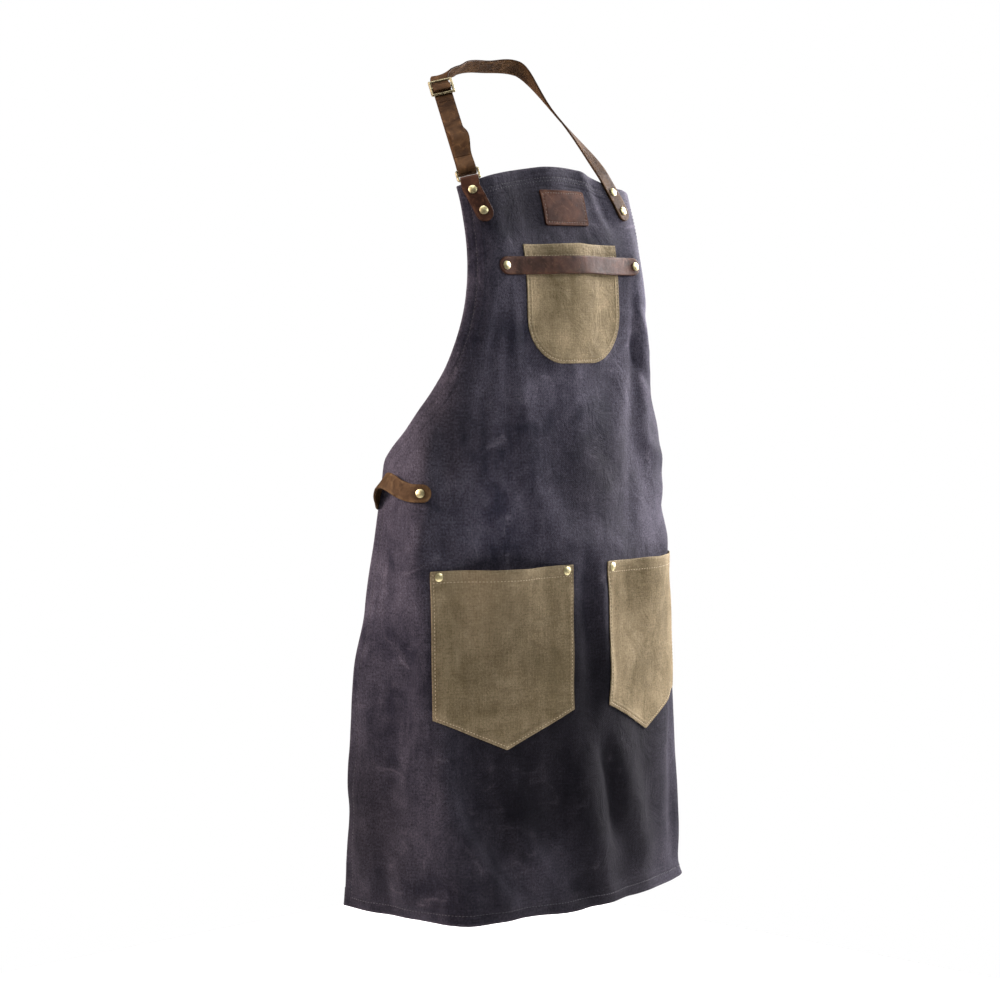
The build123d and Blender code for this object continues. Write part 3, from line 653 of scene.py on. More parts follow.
def make_strap(name, points, widths, material, round_start=False, round_end=False, step=2.0):
    """Leather strap along a path, with rounded ends where asked."""
    centres, across = smooth_path(points, widths, step)
    lengths, radius = travelled(centres), STRAP_WIDTH / 2
    stations = strap_stations(lengths, radius, round_start, round_end)
    centres, across = along(centres, lengths, stations), along(across, lengths, stations)
    travel = unit(np.gradient(centres, stations, axis=0))
    across = unit(across - travel * np.sum(across * travel, axis=1, keepdims=True))
    out = np.cross(travel, across)
    profile = np.array(strap_profile(LEATHER))
    half = np.full(len(stations), radius)
    ends = ((round_start, stations), (round_end, lengths[-1] - stations))
    past_centre = [np.clip(radius - from_end, 0, radius)[:, None]
                   for rounded, from_end in ends if rounded]
    for past in past_centre:
        half = np.minimum(half, np.sqrt(radius ** 2 - past[:, 0] ** 2))
    x = half[:, None] * profile[:, 0]
    rings = (centres[:, None, :] + across[:, None, :] * x[..., None]
             + out[:, None, :] * profile[None, :, 1, None])
    edge = np.broadcast_to(profile[:, 2], x.shape)
    for past in past_centre:
        edge = np.minimum(edge, (radius - np.hypot(x, past)).clip(0) + 0.01)
    grid = np.arange(x.size).reshape(x.shape)
    closed = np.concatenate([grid, grid[:, :1]], axis=1)
    sides = np.stack([closed[:-1, :-1], closed[1:, :-1], closed[1:, 1:], closed[:-1, 1:]], axis=-1)
    faces = [*sides.reshape(-1, 4), grid[0], grid[-1][::-1]]
    uv = np.stack([x, np.broadcast_to(stations[:, None], x.shape)], axis=-1)
    return make_piece(name, rings, faces, material, edge, uv)


# Rings of one stitch: place along it and size as shares, then how far it lifts off the cloth.
STITCH_RINGS = ((-1.0, 0.30, -0.9), (-0.72, 0.85, -0.1), (0, 1.0, 0.25), (0.72, 0.85, -0.1),
                (1.0, 0.30, -0.9))
STITCH_SIDES = 6
STITCH_POINTS = len(STITCH_RINGS) * STITCH_SIDES


def stitch_points(points, normals):
    """Points of the stitches along one line, by stitch."""
    lengths = travelled(points)
    middles = np.arange(STITCH_PITCH / 2, lengths[-1] - STITCH_PITCH / 3, STITCH_PITCH)
    centre = along(points, lengths, middles)
    ahead, behind = (along(points, lengths, middles + step) for step in (0.5, -0.5))
    direction, out = unit(ahead - behind), unit(along(normals, lengths, middles))
    beside = unit(np.cross(out, direction))
    rings = []
    for place, size, lift in STITCH_RINGS:
        hub = centre + direction * place * STITCH_LENGTH / 2 + out * lift * STITCH_RADIUS
        for k in range(STITCH_SIDES):
            angle = 2 * math.pi * k / STITCH_SIDES
            rings.append(hub + (beside * math.cos(angle) + out * 0.75 * math.sin(angle))
                         * size * STITCH_RADIUS)
    return np.stack(rings, axis=1)


def stitch_faces():
    """Faces of one stitch: its sides and its two ends."""
    ring, last = range(STITCH_SIDES), STITCH_POINTS - STITCH_SIDES
    faces = []
    for first in range(0, last, STITCH_SIDES):
        for k in ring:
            a, b = first + k, first + (k + 1) % STITCH_SIDES
            faces.append((a, b, b + STITCH_SIDES, a + STITCH_SIDES))
    return faces + [ring[::-1], [last + k for k in ring]]


def make_stitches(name, lines, material):
    """One mesh with the stitches along several (points, normals) lines."""
    stitches = np.concatenate([stitch_points(*line) for line in lines])
    faces = [[first + i for i in face]
             for first in range(0, len(stitches) * STITCH_POINTS, STITCH_POINTS)
             for face in stitch_faces()]
    points = stitches.reshape(-1, 3)
    return make_piece(name, points, faces, material, uv=np.zeros((len(points), 2)))


# ---------------- outline of the canvas


def edge_paths():
    """The apron's edges as (across, height) arrays, by name."""
    top = np.linspace(-1, 1, 90)
    side = np.linspace(0, WAIST_HEIGHT, 120)
    corner = TOP_HEIGHT - TOP_CORNER_DROP
    armhole = np.linspace(WAIST_HEIGHT, corner, 110)
    paths = {
        "bottom": (np.linspace(-HEM_HALF_WIDTH, HEM_HALF_WIDTH, 220), np.zeros(220)),
        "top": (top * half_width(corner), TOP_HEIGHT - TOP_CORNER_DROP * top ** 2),
    }
    for name, sign in (("right", -1), ("left", 1)):
        paths[f"side_{name}"] = (sign * half_width(side), side)
        paths[f"armhole_{name}"] = (sign * half_width(armhole + 0.01), armhole)
    return paths


def inset(path, distance, centre=(0, 400)):
    """The path moved inwards on the cloth, to the side where the centre lies."""
    across, height = path
    tangent = np.stack([np.gradient(across), np.gradient(height)], axis=1)
    normal = unit(np.stack([-tangent[:, 1], tangent[:, 0]], axis=1))
    middle = len(across) // 2
    inwards = np.array([centre[0] - across[middle], centre[1] - height[middle]])
    if normal[middle] @ inwards < 0:
        normal = -normal
    return across + normal[:, 0] * distance, height + normal[:, 1] * distance


def nearer(nearest, across, height, path):
    """The nearest distances so far, or those from a path's points where they are less."""
    for a, h in zip(*path):
        nearest = np.minimum(nearest, np.hypot(across - a, height - h))
    return nearest


def edge_distance(across, height):
    """Distance of points on the cloth from the canvas's nearest edge."""
    nearest = np.full(np.broadcast(across, height).shape, np.inf)
    for path_across, path_height in edge_paths().values():
        nearest = nearer(nearest, across, height, (path_across[::2], path_height[::2]))
    return nearest


def canvas_grid(rows, columns):
    """Across and height of a grid that fills the canvas's outline."""
    up = np.linspace(0, 1, rows)[:, None]
    part = np.linspace(-1, 1, columns)[None, :]
    height = up * (TOP_HEIGHT - TOP_CORNER_DROP * part ** 2)
    return part * half_width(height), height


# ---------------- cloth simulation


def calm(across, height):
    """Share of the simulated creasing that shows: least where a pocket or strap stiffens it."""
    reach = CHEST_STRAP_HALF_LENGTH + 6
    boxes = [(-reach, reach, CHEST_STRAP_HEIGHT - 14, CHEST_STRAP_HEIGHT + 22)]
    boxes += [(p.low_side, p.high_side, p.lowest, p.top + 12) for p in POCKETS]
    share = np.ones(np.broadcast(across, height).shape)
    for low, high, bottom, top in boxes:
        beside = (np.abs(across - (low + high) / 2) - (high - low) / 2) / 26
        above = (np.abs(height - (bottom + top) / 2) - (top - bottom) / 2) / 26
        share = np.minimum(share, 0.1 + 0.9 * smooth_step(np.maximum(beside, above)))
    return share


SIM_SETTINGS = {
    "quality": 5, "mass": 0.35,
    "tension_stiffness": 30, "compression_stiffness": 30, "shear_stiffness": 12,
    "bending_stiffness": 1.2, "tension_damping": 12, "compression_damping": 12,
    "shear_damping": 12, "air_damping": 3,
    "vertex_group_mass": "hold", "pin_stiffness": 0.35, "shrink_min": -0.02,
}


def pin(sheet, across, height):
    """Holds the sheet firmly at hardware, less along its edges and top, and least elsewhere."""
    hold = sheet.vertex_groups.new(name="hold")
    free = freedom(across, height) * smooth_step((edge_distance(across, height) - 1) / 30 + 0.35)
    top = smooth_step((height - 640) / 150)
    weights = np.clip(1 - 0.82 * free * (1 - 0.4 * top), 0, 1).ravel()
    for index, weight in enumerate(weights):
        hold.add([index], float(weight), "REPLACE")


def settled(sheet):
    """Points of the sheet, in the build frame, once Blender's cloth has hung for a while."""
    modifier = sheet.modifiers.new("Cloth", "CLOTH")
    for key, value in SIM_SETTINGS.items():
        setattr(modifier.settings, key, value)
    modifier.collision_settings.use_collision = False
    modifier.collision_settings.use_self_collision = False
    modifier.point_cache.frame_start = 1
    modifier.point_cache.frame_end = SIM_FRAMES
    scene = bpy.context.scene
    for number in range(1, SIM_FRAMES + 1):
        scene.frame_set(number)
    shown = sheet.evaluated_get(bpy.context.evaluated_depsgraph_get())
    points = np.empty(len(shown.data.vertices) * 3)
    shown.data.vertices.foreach_get("co", points)
    scene.frame_set(1)
    return points.reshape(-1, 3) * 1000 + np.array(NECK_REST)


def simulate_canvas():
    """How far the hanging canvas settles, on the simulation's grid."""
    across, height = canvas_grid(SIM_ROWS, SIM_COLUMNS)
    start = cloth.at(across, height)
    sheet = make_piece("sim_canvas", start, grid_faces(SIM_ROWS, SIM_COLUMNS), thread["navy"])
    pin(sheet, across, height)
    move = settled(sheet).reshape(start.shape) - start
    bpy.data.objects.remove(sheet)
    length = np.linalg.norm(move, axis=-1, keepdims=True)
    move *= np.tanh(length / SIM_CAP) * SIM_CAP / np.maximum(length, 1e-6)
    move *= (freedom(across, height) * calm(across, height))[..., None]
    return blurred(move)


def blurred(move):
    """The move without its sharpest ripples, each point averaged with its neighbours."""
    for axis in (0, 1):
        for _ in range(2):
            before, after = np.roll(move, 1, axis), np.roll(move, -1, axis)
            mean = (before + 2 * move + after) / 4
            inner = [slice(None), slice(None)]
            inner[axis] = slice(1, -1)
            move[tuple(inner)] = mean[tuple(inner)]
    return move


def spread(move):
    """A move of the simulated grid, at every place of the cloth's table."""
    height = cloth.heights[:, None] + 0 * cloth.across[None, :]
    part = np.clip(cloth.across[None, :] / half_width(height), -1, 1)
    up = np.clip(height / (TOP_HEIGHT - TOP_CORNER_DROP * part ** 2), 0, 1)
    return between(move, up * (SIM_ROWS - 1), (part + 1) / 2 * (SIM_COLUMNS - 1), smooth_step)


# ---------------- materials


def colours(*shades):
    """Linear colours, as a shader takes them, from sRGB ones of 0 to 255."""
    def linear(value):
        value /= 255
        return value / 12.92 if value <= 0.04045 else ((value + 0.055) / 1.055) ** 2.4
    return [(*map(linear, shade), 1.0) for shade in shades]


class Graph:
    """One node material while it is being wired."""

    def __init__(self, name, **constants):
        self.material = bpy.data.materials.new(name)
        self.material.use_nodes = True
        self.tree = self.material.node_tree
        self.shader = self.tree.nodes["Principled BSDF"]
        for key, value in constants.items():
            self.shader.inputs[key.replace("_", " ")].default_value = value
        self.places = self.node("ShaderNodeTexCoord").outputs
        self.place = self.places["Object"]

    def node(self, kind, inputs=None, **settings):
        made = self.tree.nodes.new(kind)
        for key, value in settings.items():
            setattr(made, key, value)
        self.feed(made, inputs or {})
        return made

    def feed(self, node, inputs):
        """Sets a node's inputs, by name or number, to values or to other nodes' outputs."""
        for key, value in inputs.items():
            if isinstance(value, bpy.types.NodeSocket):
                self.tree.links.new(value, node.inputs[key])
            else:
                node.inputs[key].default_value = value

    def attribute(self, name):
        return self.node("ShaderNodeAttribute", attribute_name=name).outputs["Fac"]

    def math(self, operation, first, second=0.0, clamp=False):
        return self.node("ShaderNodeMath", {0: first, 1: second}, operation=operation,
                         use_clamp=clamp).outputs[0]

    def times(self, first, second):
        return self.math("MULTIPLY", first, second)

    def plus(self, first, second):
        return self.math("ADD", first, second)

    def noise(self, vector, scale, detail=2.0, roughness=0.5, distortion=0.0):
        """Noise at one scale, or at three for noise that is stretched along an axis."""
        if isinstance(scale, tuple):
            vector = self.node("ShaderNodeVectorMath", {0: vector, 1: scale},
                               operation="MULTIPLY").outputs[0]
            scale = 1.0
        return self.node("ShaderNodeTexNoise", {"Vector": vector, "Scale": scale, "Detail": detail,
                                                "Roughness": roughness, "Distortion": distortion}
                         ).outputs["Fac"]

    def ramp(self, value, low, high, to_low=0.0, to_high=1.0):
        return self.node("ShaderNodeMapRange", {"Value": value, "From Min": low, "From Max": high,
                                                "To Min": to_low, "To Max": to_high}).outputs[0]

    def near(self, value, middle, reach):
        """1 where value is at the middle, falling to 0 at reach on both sides."""
        off = self.math("ABSOLUTE", self.math("SUBTRACT", value, middle))
        return self.math("SUBTRACT", 1.0, self.math("DIVIDE", off, reach), clamp=True)

    def mix(self, share, first, second):
        """Colour between two colours."""
        inputs = {0: share, 6: first, 7: second}
        return self.node("ShaderNodeMix", inputs, data_type="RGBA").outputs[2]

    def bump(self, height, strength, distance, below=None):
        """Relief, on top of the relief below it where there is one."""
        inputs = {"Height": height, "Strength": strength, "Distance": distance}
        if below is not None:
            inputs["Normal"] = below
        return self.node("ShaderNodeBump", inputs).outputs[0]

    def finish(self, base, roughness, normal):
        self.feed(self.shader, {"Base Color": base, "Roughness": roughness, "Normal": normal})
        return self.material


def weave(graph, uv, pitch):
    """Plain weave: threads that pass over and under each other, and their uneven thickness."""
    parts = graph.node("ShaderNodeSeparateXYZ", {0: uv}).outputs
    turn = math.pi * 1000 / pitch
    waves = [graph.math("SINE", graph.times(parts[k], turn)) for k in (0, 1)]
    warp = graph.noise(uv, (1000 / pitch, 40, 1), 2.0, 0.6)
    weft = graph.noise(uv, (40, 1000 / pitch, 1), 2.0, 0.6)
    return graph.times(*waves), graph.plus(warp, weft)


def cloth_relief(graph, crossing, slubs, edge, seam, pucker, hem):
    """Relief of the threads, then of the hem's step and the puckered seam, then of crumples."""
    threads = graph.plus(graph.times(crossing, 0.30), graph.times(slubs, 0.55))
    step = graph.ramp(edge, hem - 1.5, hem + 1.0, 1.0, 0.0)
    groove = graph.times(seam, graph.ramp(pucker, 0.3, 0.7, 0.5, 1.3))
    seams = graph.bump(graph.math("SUBTRACT", step, groove), 0.7, 0.0009,
                       graph.bump(threads, 0.55, 0.0004))
    return graph.bump(graph.noise(graph.place, 26.0, 6.0, 0.6, 0.9), 0.42, 0.006, seams)


def cloth_material(name, shades, pitch, stitch_at, hem, wear, grain_depth):
    """Waxed canvas: weave and slubs, cloudy wax, pale crease marks and rubbed edges."""
    deep, middle, pale = shades
    graph = Graph(name, Sheen_Weight=0.01, Sheen_Roughness=0.4, Specular_IOR_Level=0.05,
                  Sheen_Tint=pale)
    uv, place, edge = graph.places["UV"], graph.place, graph.attribute("edge_mm")
    crossing, slubs = weave(graph, uv, pitch)
    patches = graph.noise(place, 34.0, 4.0, 0.6, 0.8)
    wax = graph.plus(graph.times(graph.noise(place, 9.0, 5.0, 0.55, 0.4), 0.55),
                     graph.times(patches, 0.25))
    wax = graph.plus(wax, graph.times(graph.noise(place, (60, 60, 7), 4.0, 0.6), 0.2))
    creases = graph.times(graph.near(graph.noise(place, 8.0, 3.0, 0.5, 0.8), 0.5, 0.02),
                          graph.ramp(patches, 0.5, 0.72))
    rub = graph.times(graph.near(edge, 0.0, 3.2), graph.ramp(slubs, 0.85, 1.15, 0.3, 1.0))
    seam, pucker = graph.near(edge, stitch_at, 3.0), graph.noise(place, 150.0, 2.0, 0.5)
    seam_marks = graph.times(seam, graph.ramp(pucker, 0.45, 0.75))
    worn = 0.0
    for mark, strength in ((creases, 0.5), (rub, 0.55), (seam_marks, 0.2)):
        worn = graph.math("MAXIMUM", worn, graph.times(mark, strength * wear))
    base = graph.mix(worn, graph.mix(graph.ramp(wax, 0.40, 0.60), deep, middle), pale)
    # The "shade" attribute carries painted shade and painted light; the weave's grain below is
    # real.
    tone = graph.math("SUBTRACT", 1.0, graph.attribute("shade"))
    grain = graph.noise(uv, (520, 380, 1), 4.0, 0.9)
    for ramp in ((grain, 0.33, 0.67, 1 - grain_depth, 1 + grain_depth),
                 (slubs, 0.8, 1.2, 0.86, 1.14), (crossing, -1.0, 1.0, 0.88, 1.10)):
        tone = graph.times(tone, graph.ramp(*ramp))
    toned = graph.node("ShaderNodeVectorMath", {0: base, "Scale": tone}, operation="SCALE")
    return graph.finish(toned.outputs[0], graph.ramp(wax, 0.38, 0.62, 0.72, 0.92),
                        cloth_relief(graph, crossing, slubs, edge, seam, pucker, hem))


def leather_material(name, shades, gloss):
    """Oiled leather: cloudy tone, pores, fine wrinkles, dark burnished edges and scuffs."""
    deep, middle, pale = shades
    graph = Graph(name, Specular_IOR_Level=0.06, Coat_Weight=0.01, Coat_Roughness=0.5)
    place, edge = graph.place, graph.attribute("edge_mm")
    fibres = graph.noise(place, (300, 300, 700), 3.0, 0.65)
    base = graph.mix(graph.ramp(graph.noise(place, 48.0, 5.0, 0.6, 0.6), 0.36, 0.64), deep, middle)
    scuffs = graph.times(graph.near(edge, 1.6, 2.2),
                         graph.ramp(graph.noise(place, 140.0, 3.0, 0.5), 0.45, 0.7, 0.0, 0.45))
    pulls = graph.times(graph.ramp(graph.noise(place, 90.0, 4.0, 0.7, 1.2), 0.56, 0.74), 0.5)
    base = graph.mix(graph.math("MAXIMUM", scuffs, pulls), base, pale)
    base = graph.mix(graph.times(graph.near(edge, 0.0, 0.8), 0.75), base, deep)
    cells = graph.node("ShaderNodeTexVoronoi", {"Vector": place, "Scale": 1250.0},
                       feature="DISTANCE_TO_EDGE").outputs["Distance"]
    grain = graph.plus(graph.ramp(cells, 0.0, 0.25), graph.times(fibres, 0.8))
    wrinkles = graph.bump(graph.noise(place, 110.0, 3.0, 0.5, 1.2), 0.3, 0.0008,
                          graph.bump(grain, 0.22, 0.0001))
    return graph.finish(base, graph.ramp(fibres, 0.35, 0.65, gloss + 0.08, gloss + 0.24), wrinkles)


def metal_material(name, shades, roughness, cover):
    """Brass with tarnish in patches and fine scratches."""
    graph = Graph(name, Metallic=1.0)
    patina = graph.noise(graph.place, 420.0, 5.0, 0.65, 0.5)
    base = graph.mix(graph.ramp(patina, 0.62 - cover, 0.72 - cover / 2), *shades)
    scratches = graph.noise(graph.place, (900, 5200, 2600), 2.0, 0.5)
    uneven = graph.ramp(graph.plus(patina, scratches), 0.8, 1.3, roughness, roughness + 0.22)
    dents = graph.bump(graph.noise(graph.place, 700.0, 3.0, 0.5), 0.25, 0.0003)
    return graph.finish(base, uneven, graph.bump(scratches, 0.12, 0.0001, dents))


def thread_material(name, shades):
    """Waxed sewing thread: uneven colour and a twisted surface."""
    graph = Graph(name, Specular_IOR_Level=0.3, Sheen_Weight=0.2)
    twist = graph.noise(graph.place, (1500, 1500, 1500), 2.0, 0.6)
    base = graph.mix(graph.noise(graph.place, 210.0, 3.0, 0.6), *shades)
    roughness = graph.ramp(twist, 0.3, 0.7, 0.55, 0.8)
    return graph.finish(base, roughness, graph.bump(twist, 0.5, 0.0002))


def floor_material():
    """Pale studio floor with a barely uneven finish."""
    graph = Graph("studio_floor", Specular_IOR_Level=0.1)
    haze = graph.noise(graph.place, 2.0, 3.0, 0.5)
    base = graph.mix(haze, *colours((250, 250, 250), (254, 254, 254)))
    return graph.finish(base, 0.9, graph.bump(haze, 0.02, 0.001))


canvas_navy = cloth_material("waxed_canvas_navy",
                             colours((37, 36, 46), (74, 71, 81), (130, 123, 134)),
                             pitch=1.2, stitch_at=HEM_STITCH, hem=HEM_WIDTH, wear=0.5,
                             grain_depth=0.75)
canvas_khaki = cloth_material("waxed_canvas_khaki",
                              colours((106, 94, 70), (146, 131, 104), (186, 172, 146)),
                              pitch=1.0, stitch_at=POCKET_STITCH, hem=POCKET_STITCH + 4, wear=0.3,
                              grain_depth=0.4)
leather = {kind: leather_material(f"oiled_leather_{kind}", colours(*shades), gloss)
           for kind, gloss, *shades in (
               ("dark", 0.42, (44, 28, 21), (76, 50, 39), (118, 84, 64)),
               ("strap", 0.5, (48, 32, 19), (82, 60, 39), (126, 94, 62)),
               ("loop", 0.5, (54, 39, 25), (84, 64, 43), (130, 106, 76)),
               ("patch", 0.55, (50, 28, 19), (80, 50, 36), (124, 86, 64)))}
brass = metal_material("brass_rivet", colours((204, 194, 150), (128, 114, 74)), 0.36, 0.07)
antique_brass = metal_material("antique_brass", colours((158, 148, 118), (74, 66, 48)), 0.38, 0.14)
thread = {kind: thread_material(f"thread_{kind}", colours(*shades))
          for kind, *shades in (("pale", (150, 134, 104), (190, 174, 142)),
                                ("navy", (30, 29, 37), (50, 47, 57)),
                                ("brown", (70, 52, 42), (128, 100, 80)))}

# ---------------- canvas pieces


def belongs(piece, body, slot, *nodes):
    """Ties a piece to its CAD body and hides the CAD nodes it stands for; the slot is not used."""
    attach(piece, body)
    if nodes:
        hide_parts(*nodes)
    return piece


def on_cloth(across, height):
    """UVs of points on the cloth: their place across and up it."""
    return np.stack([across, height], axis=-1)


def make_canvas():
    """The canvas, a sheet of its own outline's area, and its hems."""
    across, height = canvas_grid(CLOTH_ROWS, CLOTH_COLUMNS)
    canvas = make_shell("canvas_body", cloth.at(across, height), cloth.normal(across, height),
                        CANVAS, canvas_navy, edge_distance(across, height),
                        on_cloth(across, height))
    belongs(canvas, "apron", "canvas", "apron_body")
    hems = make_hems()


# Section of a turned hem: distance inside the edge, out from the middle of the canvas.
HEM_BACK = -CANVAS_FACE - HEM_LAYER
HEM_PROFILE = [
    (HEM_WIDTH, -CANVAS_FACE + 0.1), (HEM_WIDTH + 0.5, HEM_BACK + 0.5), (HEM_WIDTH - 0.3, HEM_BACK),
    (HEM_STITCH, HEM_BACK + 0.15), (1.2, HEM_BACK), (-0.2, HEM_BACK + 0.45), (-0.9, HEM_BACK + 1.3),
    (-0.7, 0.2), (0.2, CANVAS_FACE - 0.05), (1.4, CANVAS_FACE + 0.12), (2.8, CANVAS_FACE - 0.2),
]


def make_hem(name, path):
    """Turned hem round one edge: it wraps the edge and lies behind the canvas."""
    profile = HEM_PROFILE + HEM_PROFILE[:1]
    lines = [inset(path, distance) for distance, _ in profile]
    rings = np.stack([cloth.at(*line, out) for line, (_, out) in zip(lines, profile)], axis=1)
    count, size = rings.shape[:2]
    ends = [range(size - 1), reversed(range((count - 1) * size, count * size - 1))]
    edge = np.broadcast_to([max(distance, 0) for distance, _ in profile], (count, size))
    uv = np.stack([on_cloth(*line) for line in lines], axis=1)
    faces = [*grid_faces(count, size), *ends]
    return make_piece(f"hem_{name}", rings, faces, canvas_navy, edge, uv)


def cloth_line(across, height, out):
    """Line on the cloth with its normals, for stitches; a negative `out` lies on the back."""
    sign = 1 if np.mean(out) > 0 else -1
    return cloth.at(across, height, out), cloth.normal(across, height) * sign


def make_hems():
    """A hem on each edge, and the stitches through them all, seen from both sides."""
    hems, front, back = [], [], []
    for name, path in edge_paths().items():
        hems.append(make_hem(name, path))
        for distance in TOP_STITCHES if name == "top" else (HEM_STITCH,):
            line = [values[4:-4] for values in inset(path, distance)]
            front.append(cloth_line(*line, CANVAS_FACE + 0.1))
            back.append(cloth_line(*line, HEM_BACK - 0.05))
    hems.append(make_stitches("hem_stitches", front, thread["navy"]))
    hems.append(make_stitches("hem_stitches_inside", back, thread["navy"]))
    for piece in hems:
        belongs(piece, "apron", "canvas")
    return hems


# ---------------- pockets


@dataclass
class Pocket:
    """A patch pocket on the cloth, by where its sides, mouth and bottom lie."""

    name: str
    low_side: float         # across, from the wearer's right to the wearer's left
    high_side: float
    top: float
    lowest: float
    gape: float

    def bottom(self, across):
        """Height of the bottom edge."""
        raise NotImplementedError

    def relief(self, across, height, distance):
        """How far the front stands off the canvas: gape, turned edges and hem, seam groove."""
        part = np.clip((across - self.low_side) / (self.high_side - self.low_side), 0, 1)
        up = np.clip((height - self.lowest) / (self.top - self.lowest), 0, 1)
        inside = np.clip((part - SEAM_SHARE) / (1 - 2 * SEAM_SHARE), 0, 1)
        mouth = np.sin(math.pi * inside) ** GAPE_ROUNDNESS * up ** GAPE_RISE
        out = POCKET_MIDDLE + self.gape * mouth
        turned = 1 - smooth_step((distance - POCKET_TURNED) / 2)
        hem = 1 - smooth_step((self.top - height - POCKET_HEM) / 2)
        out += POCKET_LAYER * np.maximum(turned, hem)
        out -= GROOVE * np.exp(-((distance - POCKET_STITCH) / GROOVE_WIDTH) ** 2)
        below = self.top - height - POCKET_HEM_STITCH
        out -= MOUTH_GROOVE * np.exp(-(below / GROOVE_WIDTH) ** 2)
        slack = np.sin(math.pi * part) * np.sin(math.pi * up)
        ripple = np.sin(part * 9 + 2 * np.sin(up * 5 + self.low_side)) * np.sin(up * 7 + part * 2)
        return out + POCKET_SLACK * slack * (1 + ripple)

    def grid(self, rows, columns):
        """Across and height of a grid over the pocket, closer together near its sides."""
        spread_out = (1 - np.cos(np.linspace(0, math.pi, columns))) / 2
        part = (0.35 * np.linspace(0, 1, columns) + 0.65 * spread_out)[None, :]
        up = np.linspace(0, 1, rows)[:, None]
        across = self.low_side + part * (self.high_side - self.low_side) + 0 * up
        bottom = self.bottom(across)
        return across, bottom + up * (self.top - bottom)

    def distance(self, across, height):
        """Distance from the sewn edges, which are all but the mouth."""
        edge = np.linspace(self.low_side, self.high_side, 160)
        nearest = np.minimum(across - self.low_side, self.high_side - across)
        return nearer(nearest, across, height, (edge, self.bottom(edge)))

    def seam(self, inside):
        """Across and height of the stitch line that lies `inside` the sewn edges."""
        across = np.linspace(self.low_side, self.high_side, 400)
        line = np.stack([across, self.bottom(across)])
        up = np.linspace(self.top, line[1, 0], 80)[:-1]
        right = np.stack([np.full(len(up), self.low_side), up])
        down = np.linspace(line[1, -1], self.top, 80)[1:]
        left = np.stack([np.full(len(down), self.high_side), down])
        path = np.concatenate([right, line, left], axis=1)
        centre = ((self.low_side + self.high_side) / 2, (self.lowest + self.top) / 2)
        moved = np.stack(inset((path[0], path[1]), inside, centre))
        clear = self.distance(moved[0], moved[1]) > inside - 0.4
        keep = clear & (moved[1] < self.top - 2)
        return moved[0][keep], moved[1][keep]


class HipPocket(Pocket):
    def bottom(self, across):
        off = np.abs(2 * (across - self.low_side) / (self.high_side - self.low_side) - 1)
        return HIP_POCKET["tip"] + (HIP_POCKET["side_bottom"] - HIP_POCKET["tip"]) * off


class ChestPocket(Pocket):
    def bottom(self, across):
        radius = CHEST_POCKET["corner_radius"]
        past = np.clip(np.abs(across) - (self.high_side - radius), 0, radius)
        return CHEST_POCKET["bottom"] + radius - np.sqrt(radius ** 2 - past ** 2)


POCKETS = [
    HipPocket("hip_pocket_right", -HIP_POCKET["outer"], -HIP_POCKET["inner"], HIP_POCKET["top"],
              HIP_POCKET["tip"], HIP_POCKET_GAPE),
    HipPocket("hip_pocket_left", HIP_POCKET["inner"], HIP_POCKET["outer"], HIP_POCKET["top"],
              HIP_POCKET["tip"], HIP_POCKET_GAPE),
    ChestPocket("chest_pocket", -CHEST_POCKET["half_width"], CHEST_POCKET["half_width"],
                CHEST_POCKET["top"], CHEST_POCKET["bottom"], CHEST_POCKET_GAPE),
]


def make_pocket(pocket):
    """Front of a pocket and its stitches, which also show inside the apron."""
    across, height = pocket.grid(POCKET_ROWS, POCKET_COLUMNS)
    distance = pocket.distance(across, height)
    middle = cloth.at(across, height, pocket.relief(across, height, distance))
    up, sideways = np.gradient(middle, axis=(0, 1))
    from_mouth = np.abs(pocket.top - height) / POCKET_HEM_STITCH * POCKET_STITCH
    from_edge = np.minimum(distance, from_mouth)
    front = make_shell(f"{pocket.name}_front", middle, unit(np.cross(sideways, up)), POCKET_CANVAS,
                       canvas_khaki, from_edge, on_cloth(across, height))
    belongs(front, "apron", "pocket_canvas", pocket.name)
    seam = pocket.seam(POCKET_STITCH)
    mouth = (np.linspace(pocket.low_side + 1.5, pocket.high_side - 1.5, 200),
             np.full(200, pocket.top - POCKET_HEM_STITCH))
    face = POCKET_CANVAS / 2 + 0.12
    lines = [cloth_line(*line, pocket.relief(*line, pocket.distance(*line)) + face)
             for line in (seam, mouth)]
    behind = [cloth_line(*seam, -CANVAS_FACE - 0.1)]
    stitches = make_stitches(f"{pocket.name}_stitches", lines, thread["pale"])
    inside = make_stitches(f"{pocket.name}_stitches_inside", behind, thread["navy"])
    for piece in (stitches, inside):
        belongs(piece, "apron", "pocket_canvas")
    sample = np.linspace(pocket.low_side, pocket.high_side, 200)
    mean_height = np.mean(pocket.top - pocket.bottom(sample))


# ---------------- leather


def ring_plane():
    """Plane on the axis of the ring's lower bar: X along the bar, Y up the strap's legs."""
    tab = seat_plane(TAB_SEAT, TAB_RIVET_SPACING / 2)
    centre = tab.point(y=TAB_RIVET_TO_RING)
    neck_side = Vector((-NECK_HALF_WIDTH - 45, NECK_SIDE_DEPTH - 15, NECK_REST.z - 30))
    aim = neck_side - centre
    up = aim - tab.x * aim.dot(tab.x)
    return Plane(centre, tab.x, tab.x.cross(up))


def leg_plane():
    """Plane on the axis of the ring's upper bar, with the same directions."""
    return ring_plane().shifted(y=RING_INNER_HEIGHT + WIRE)


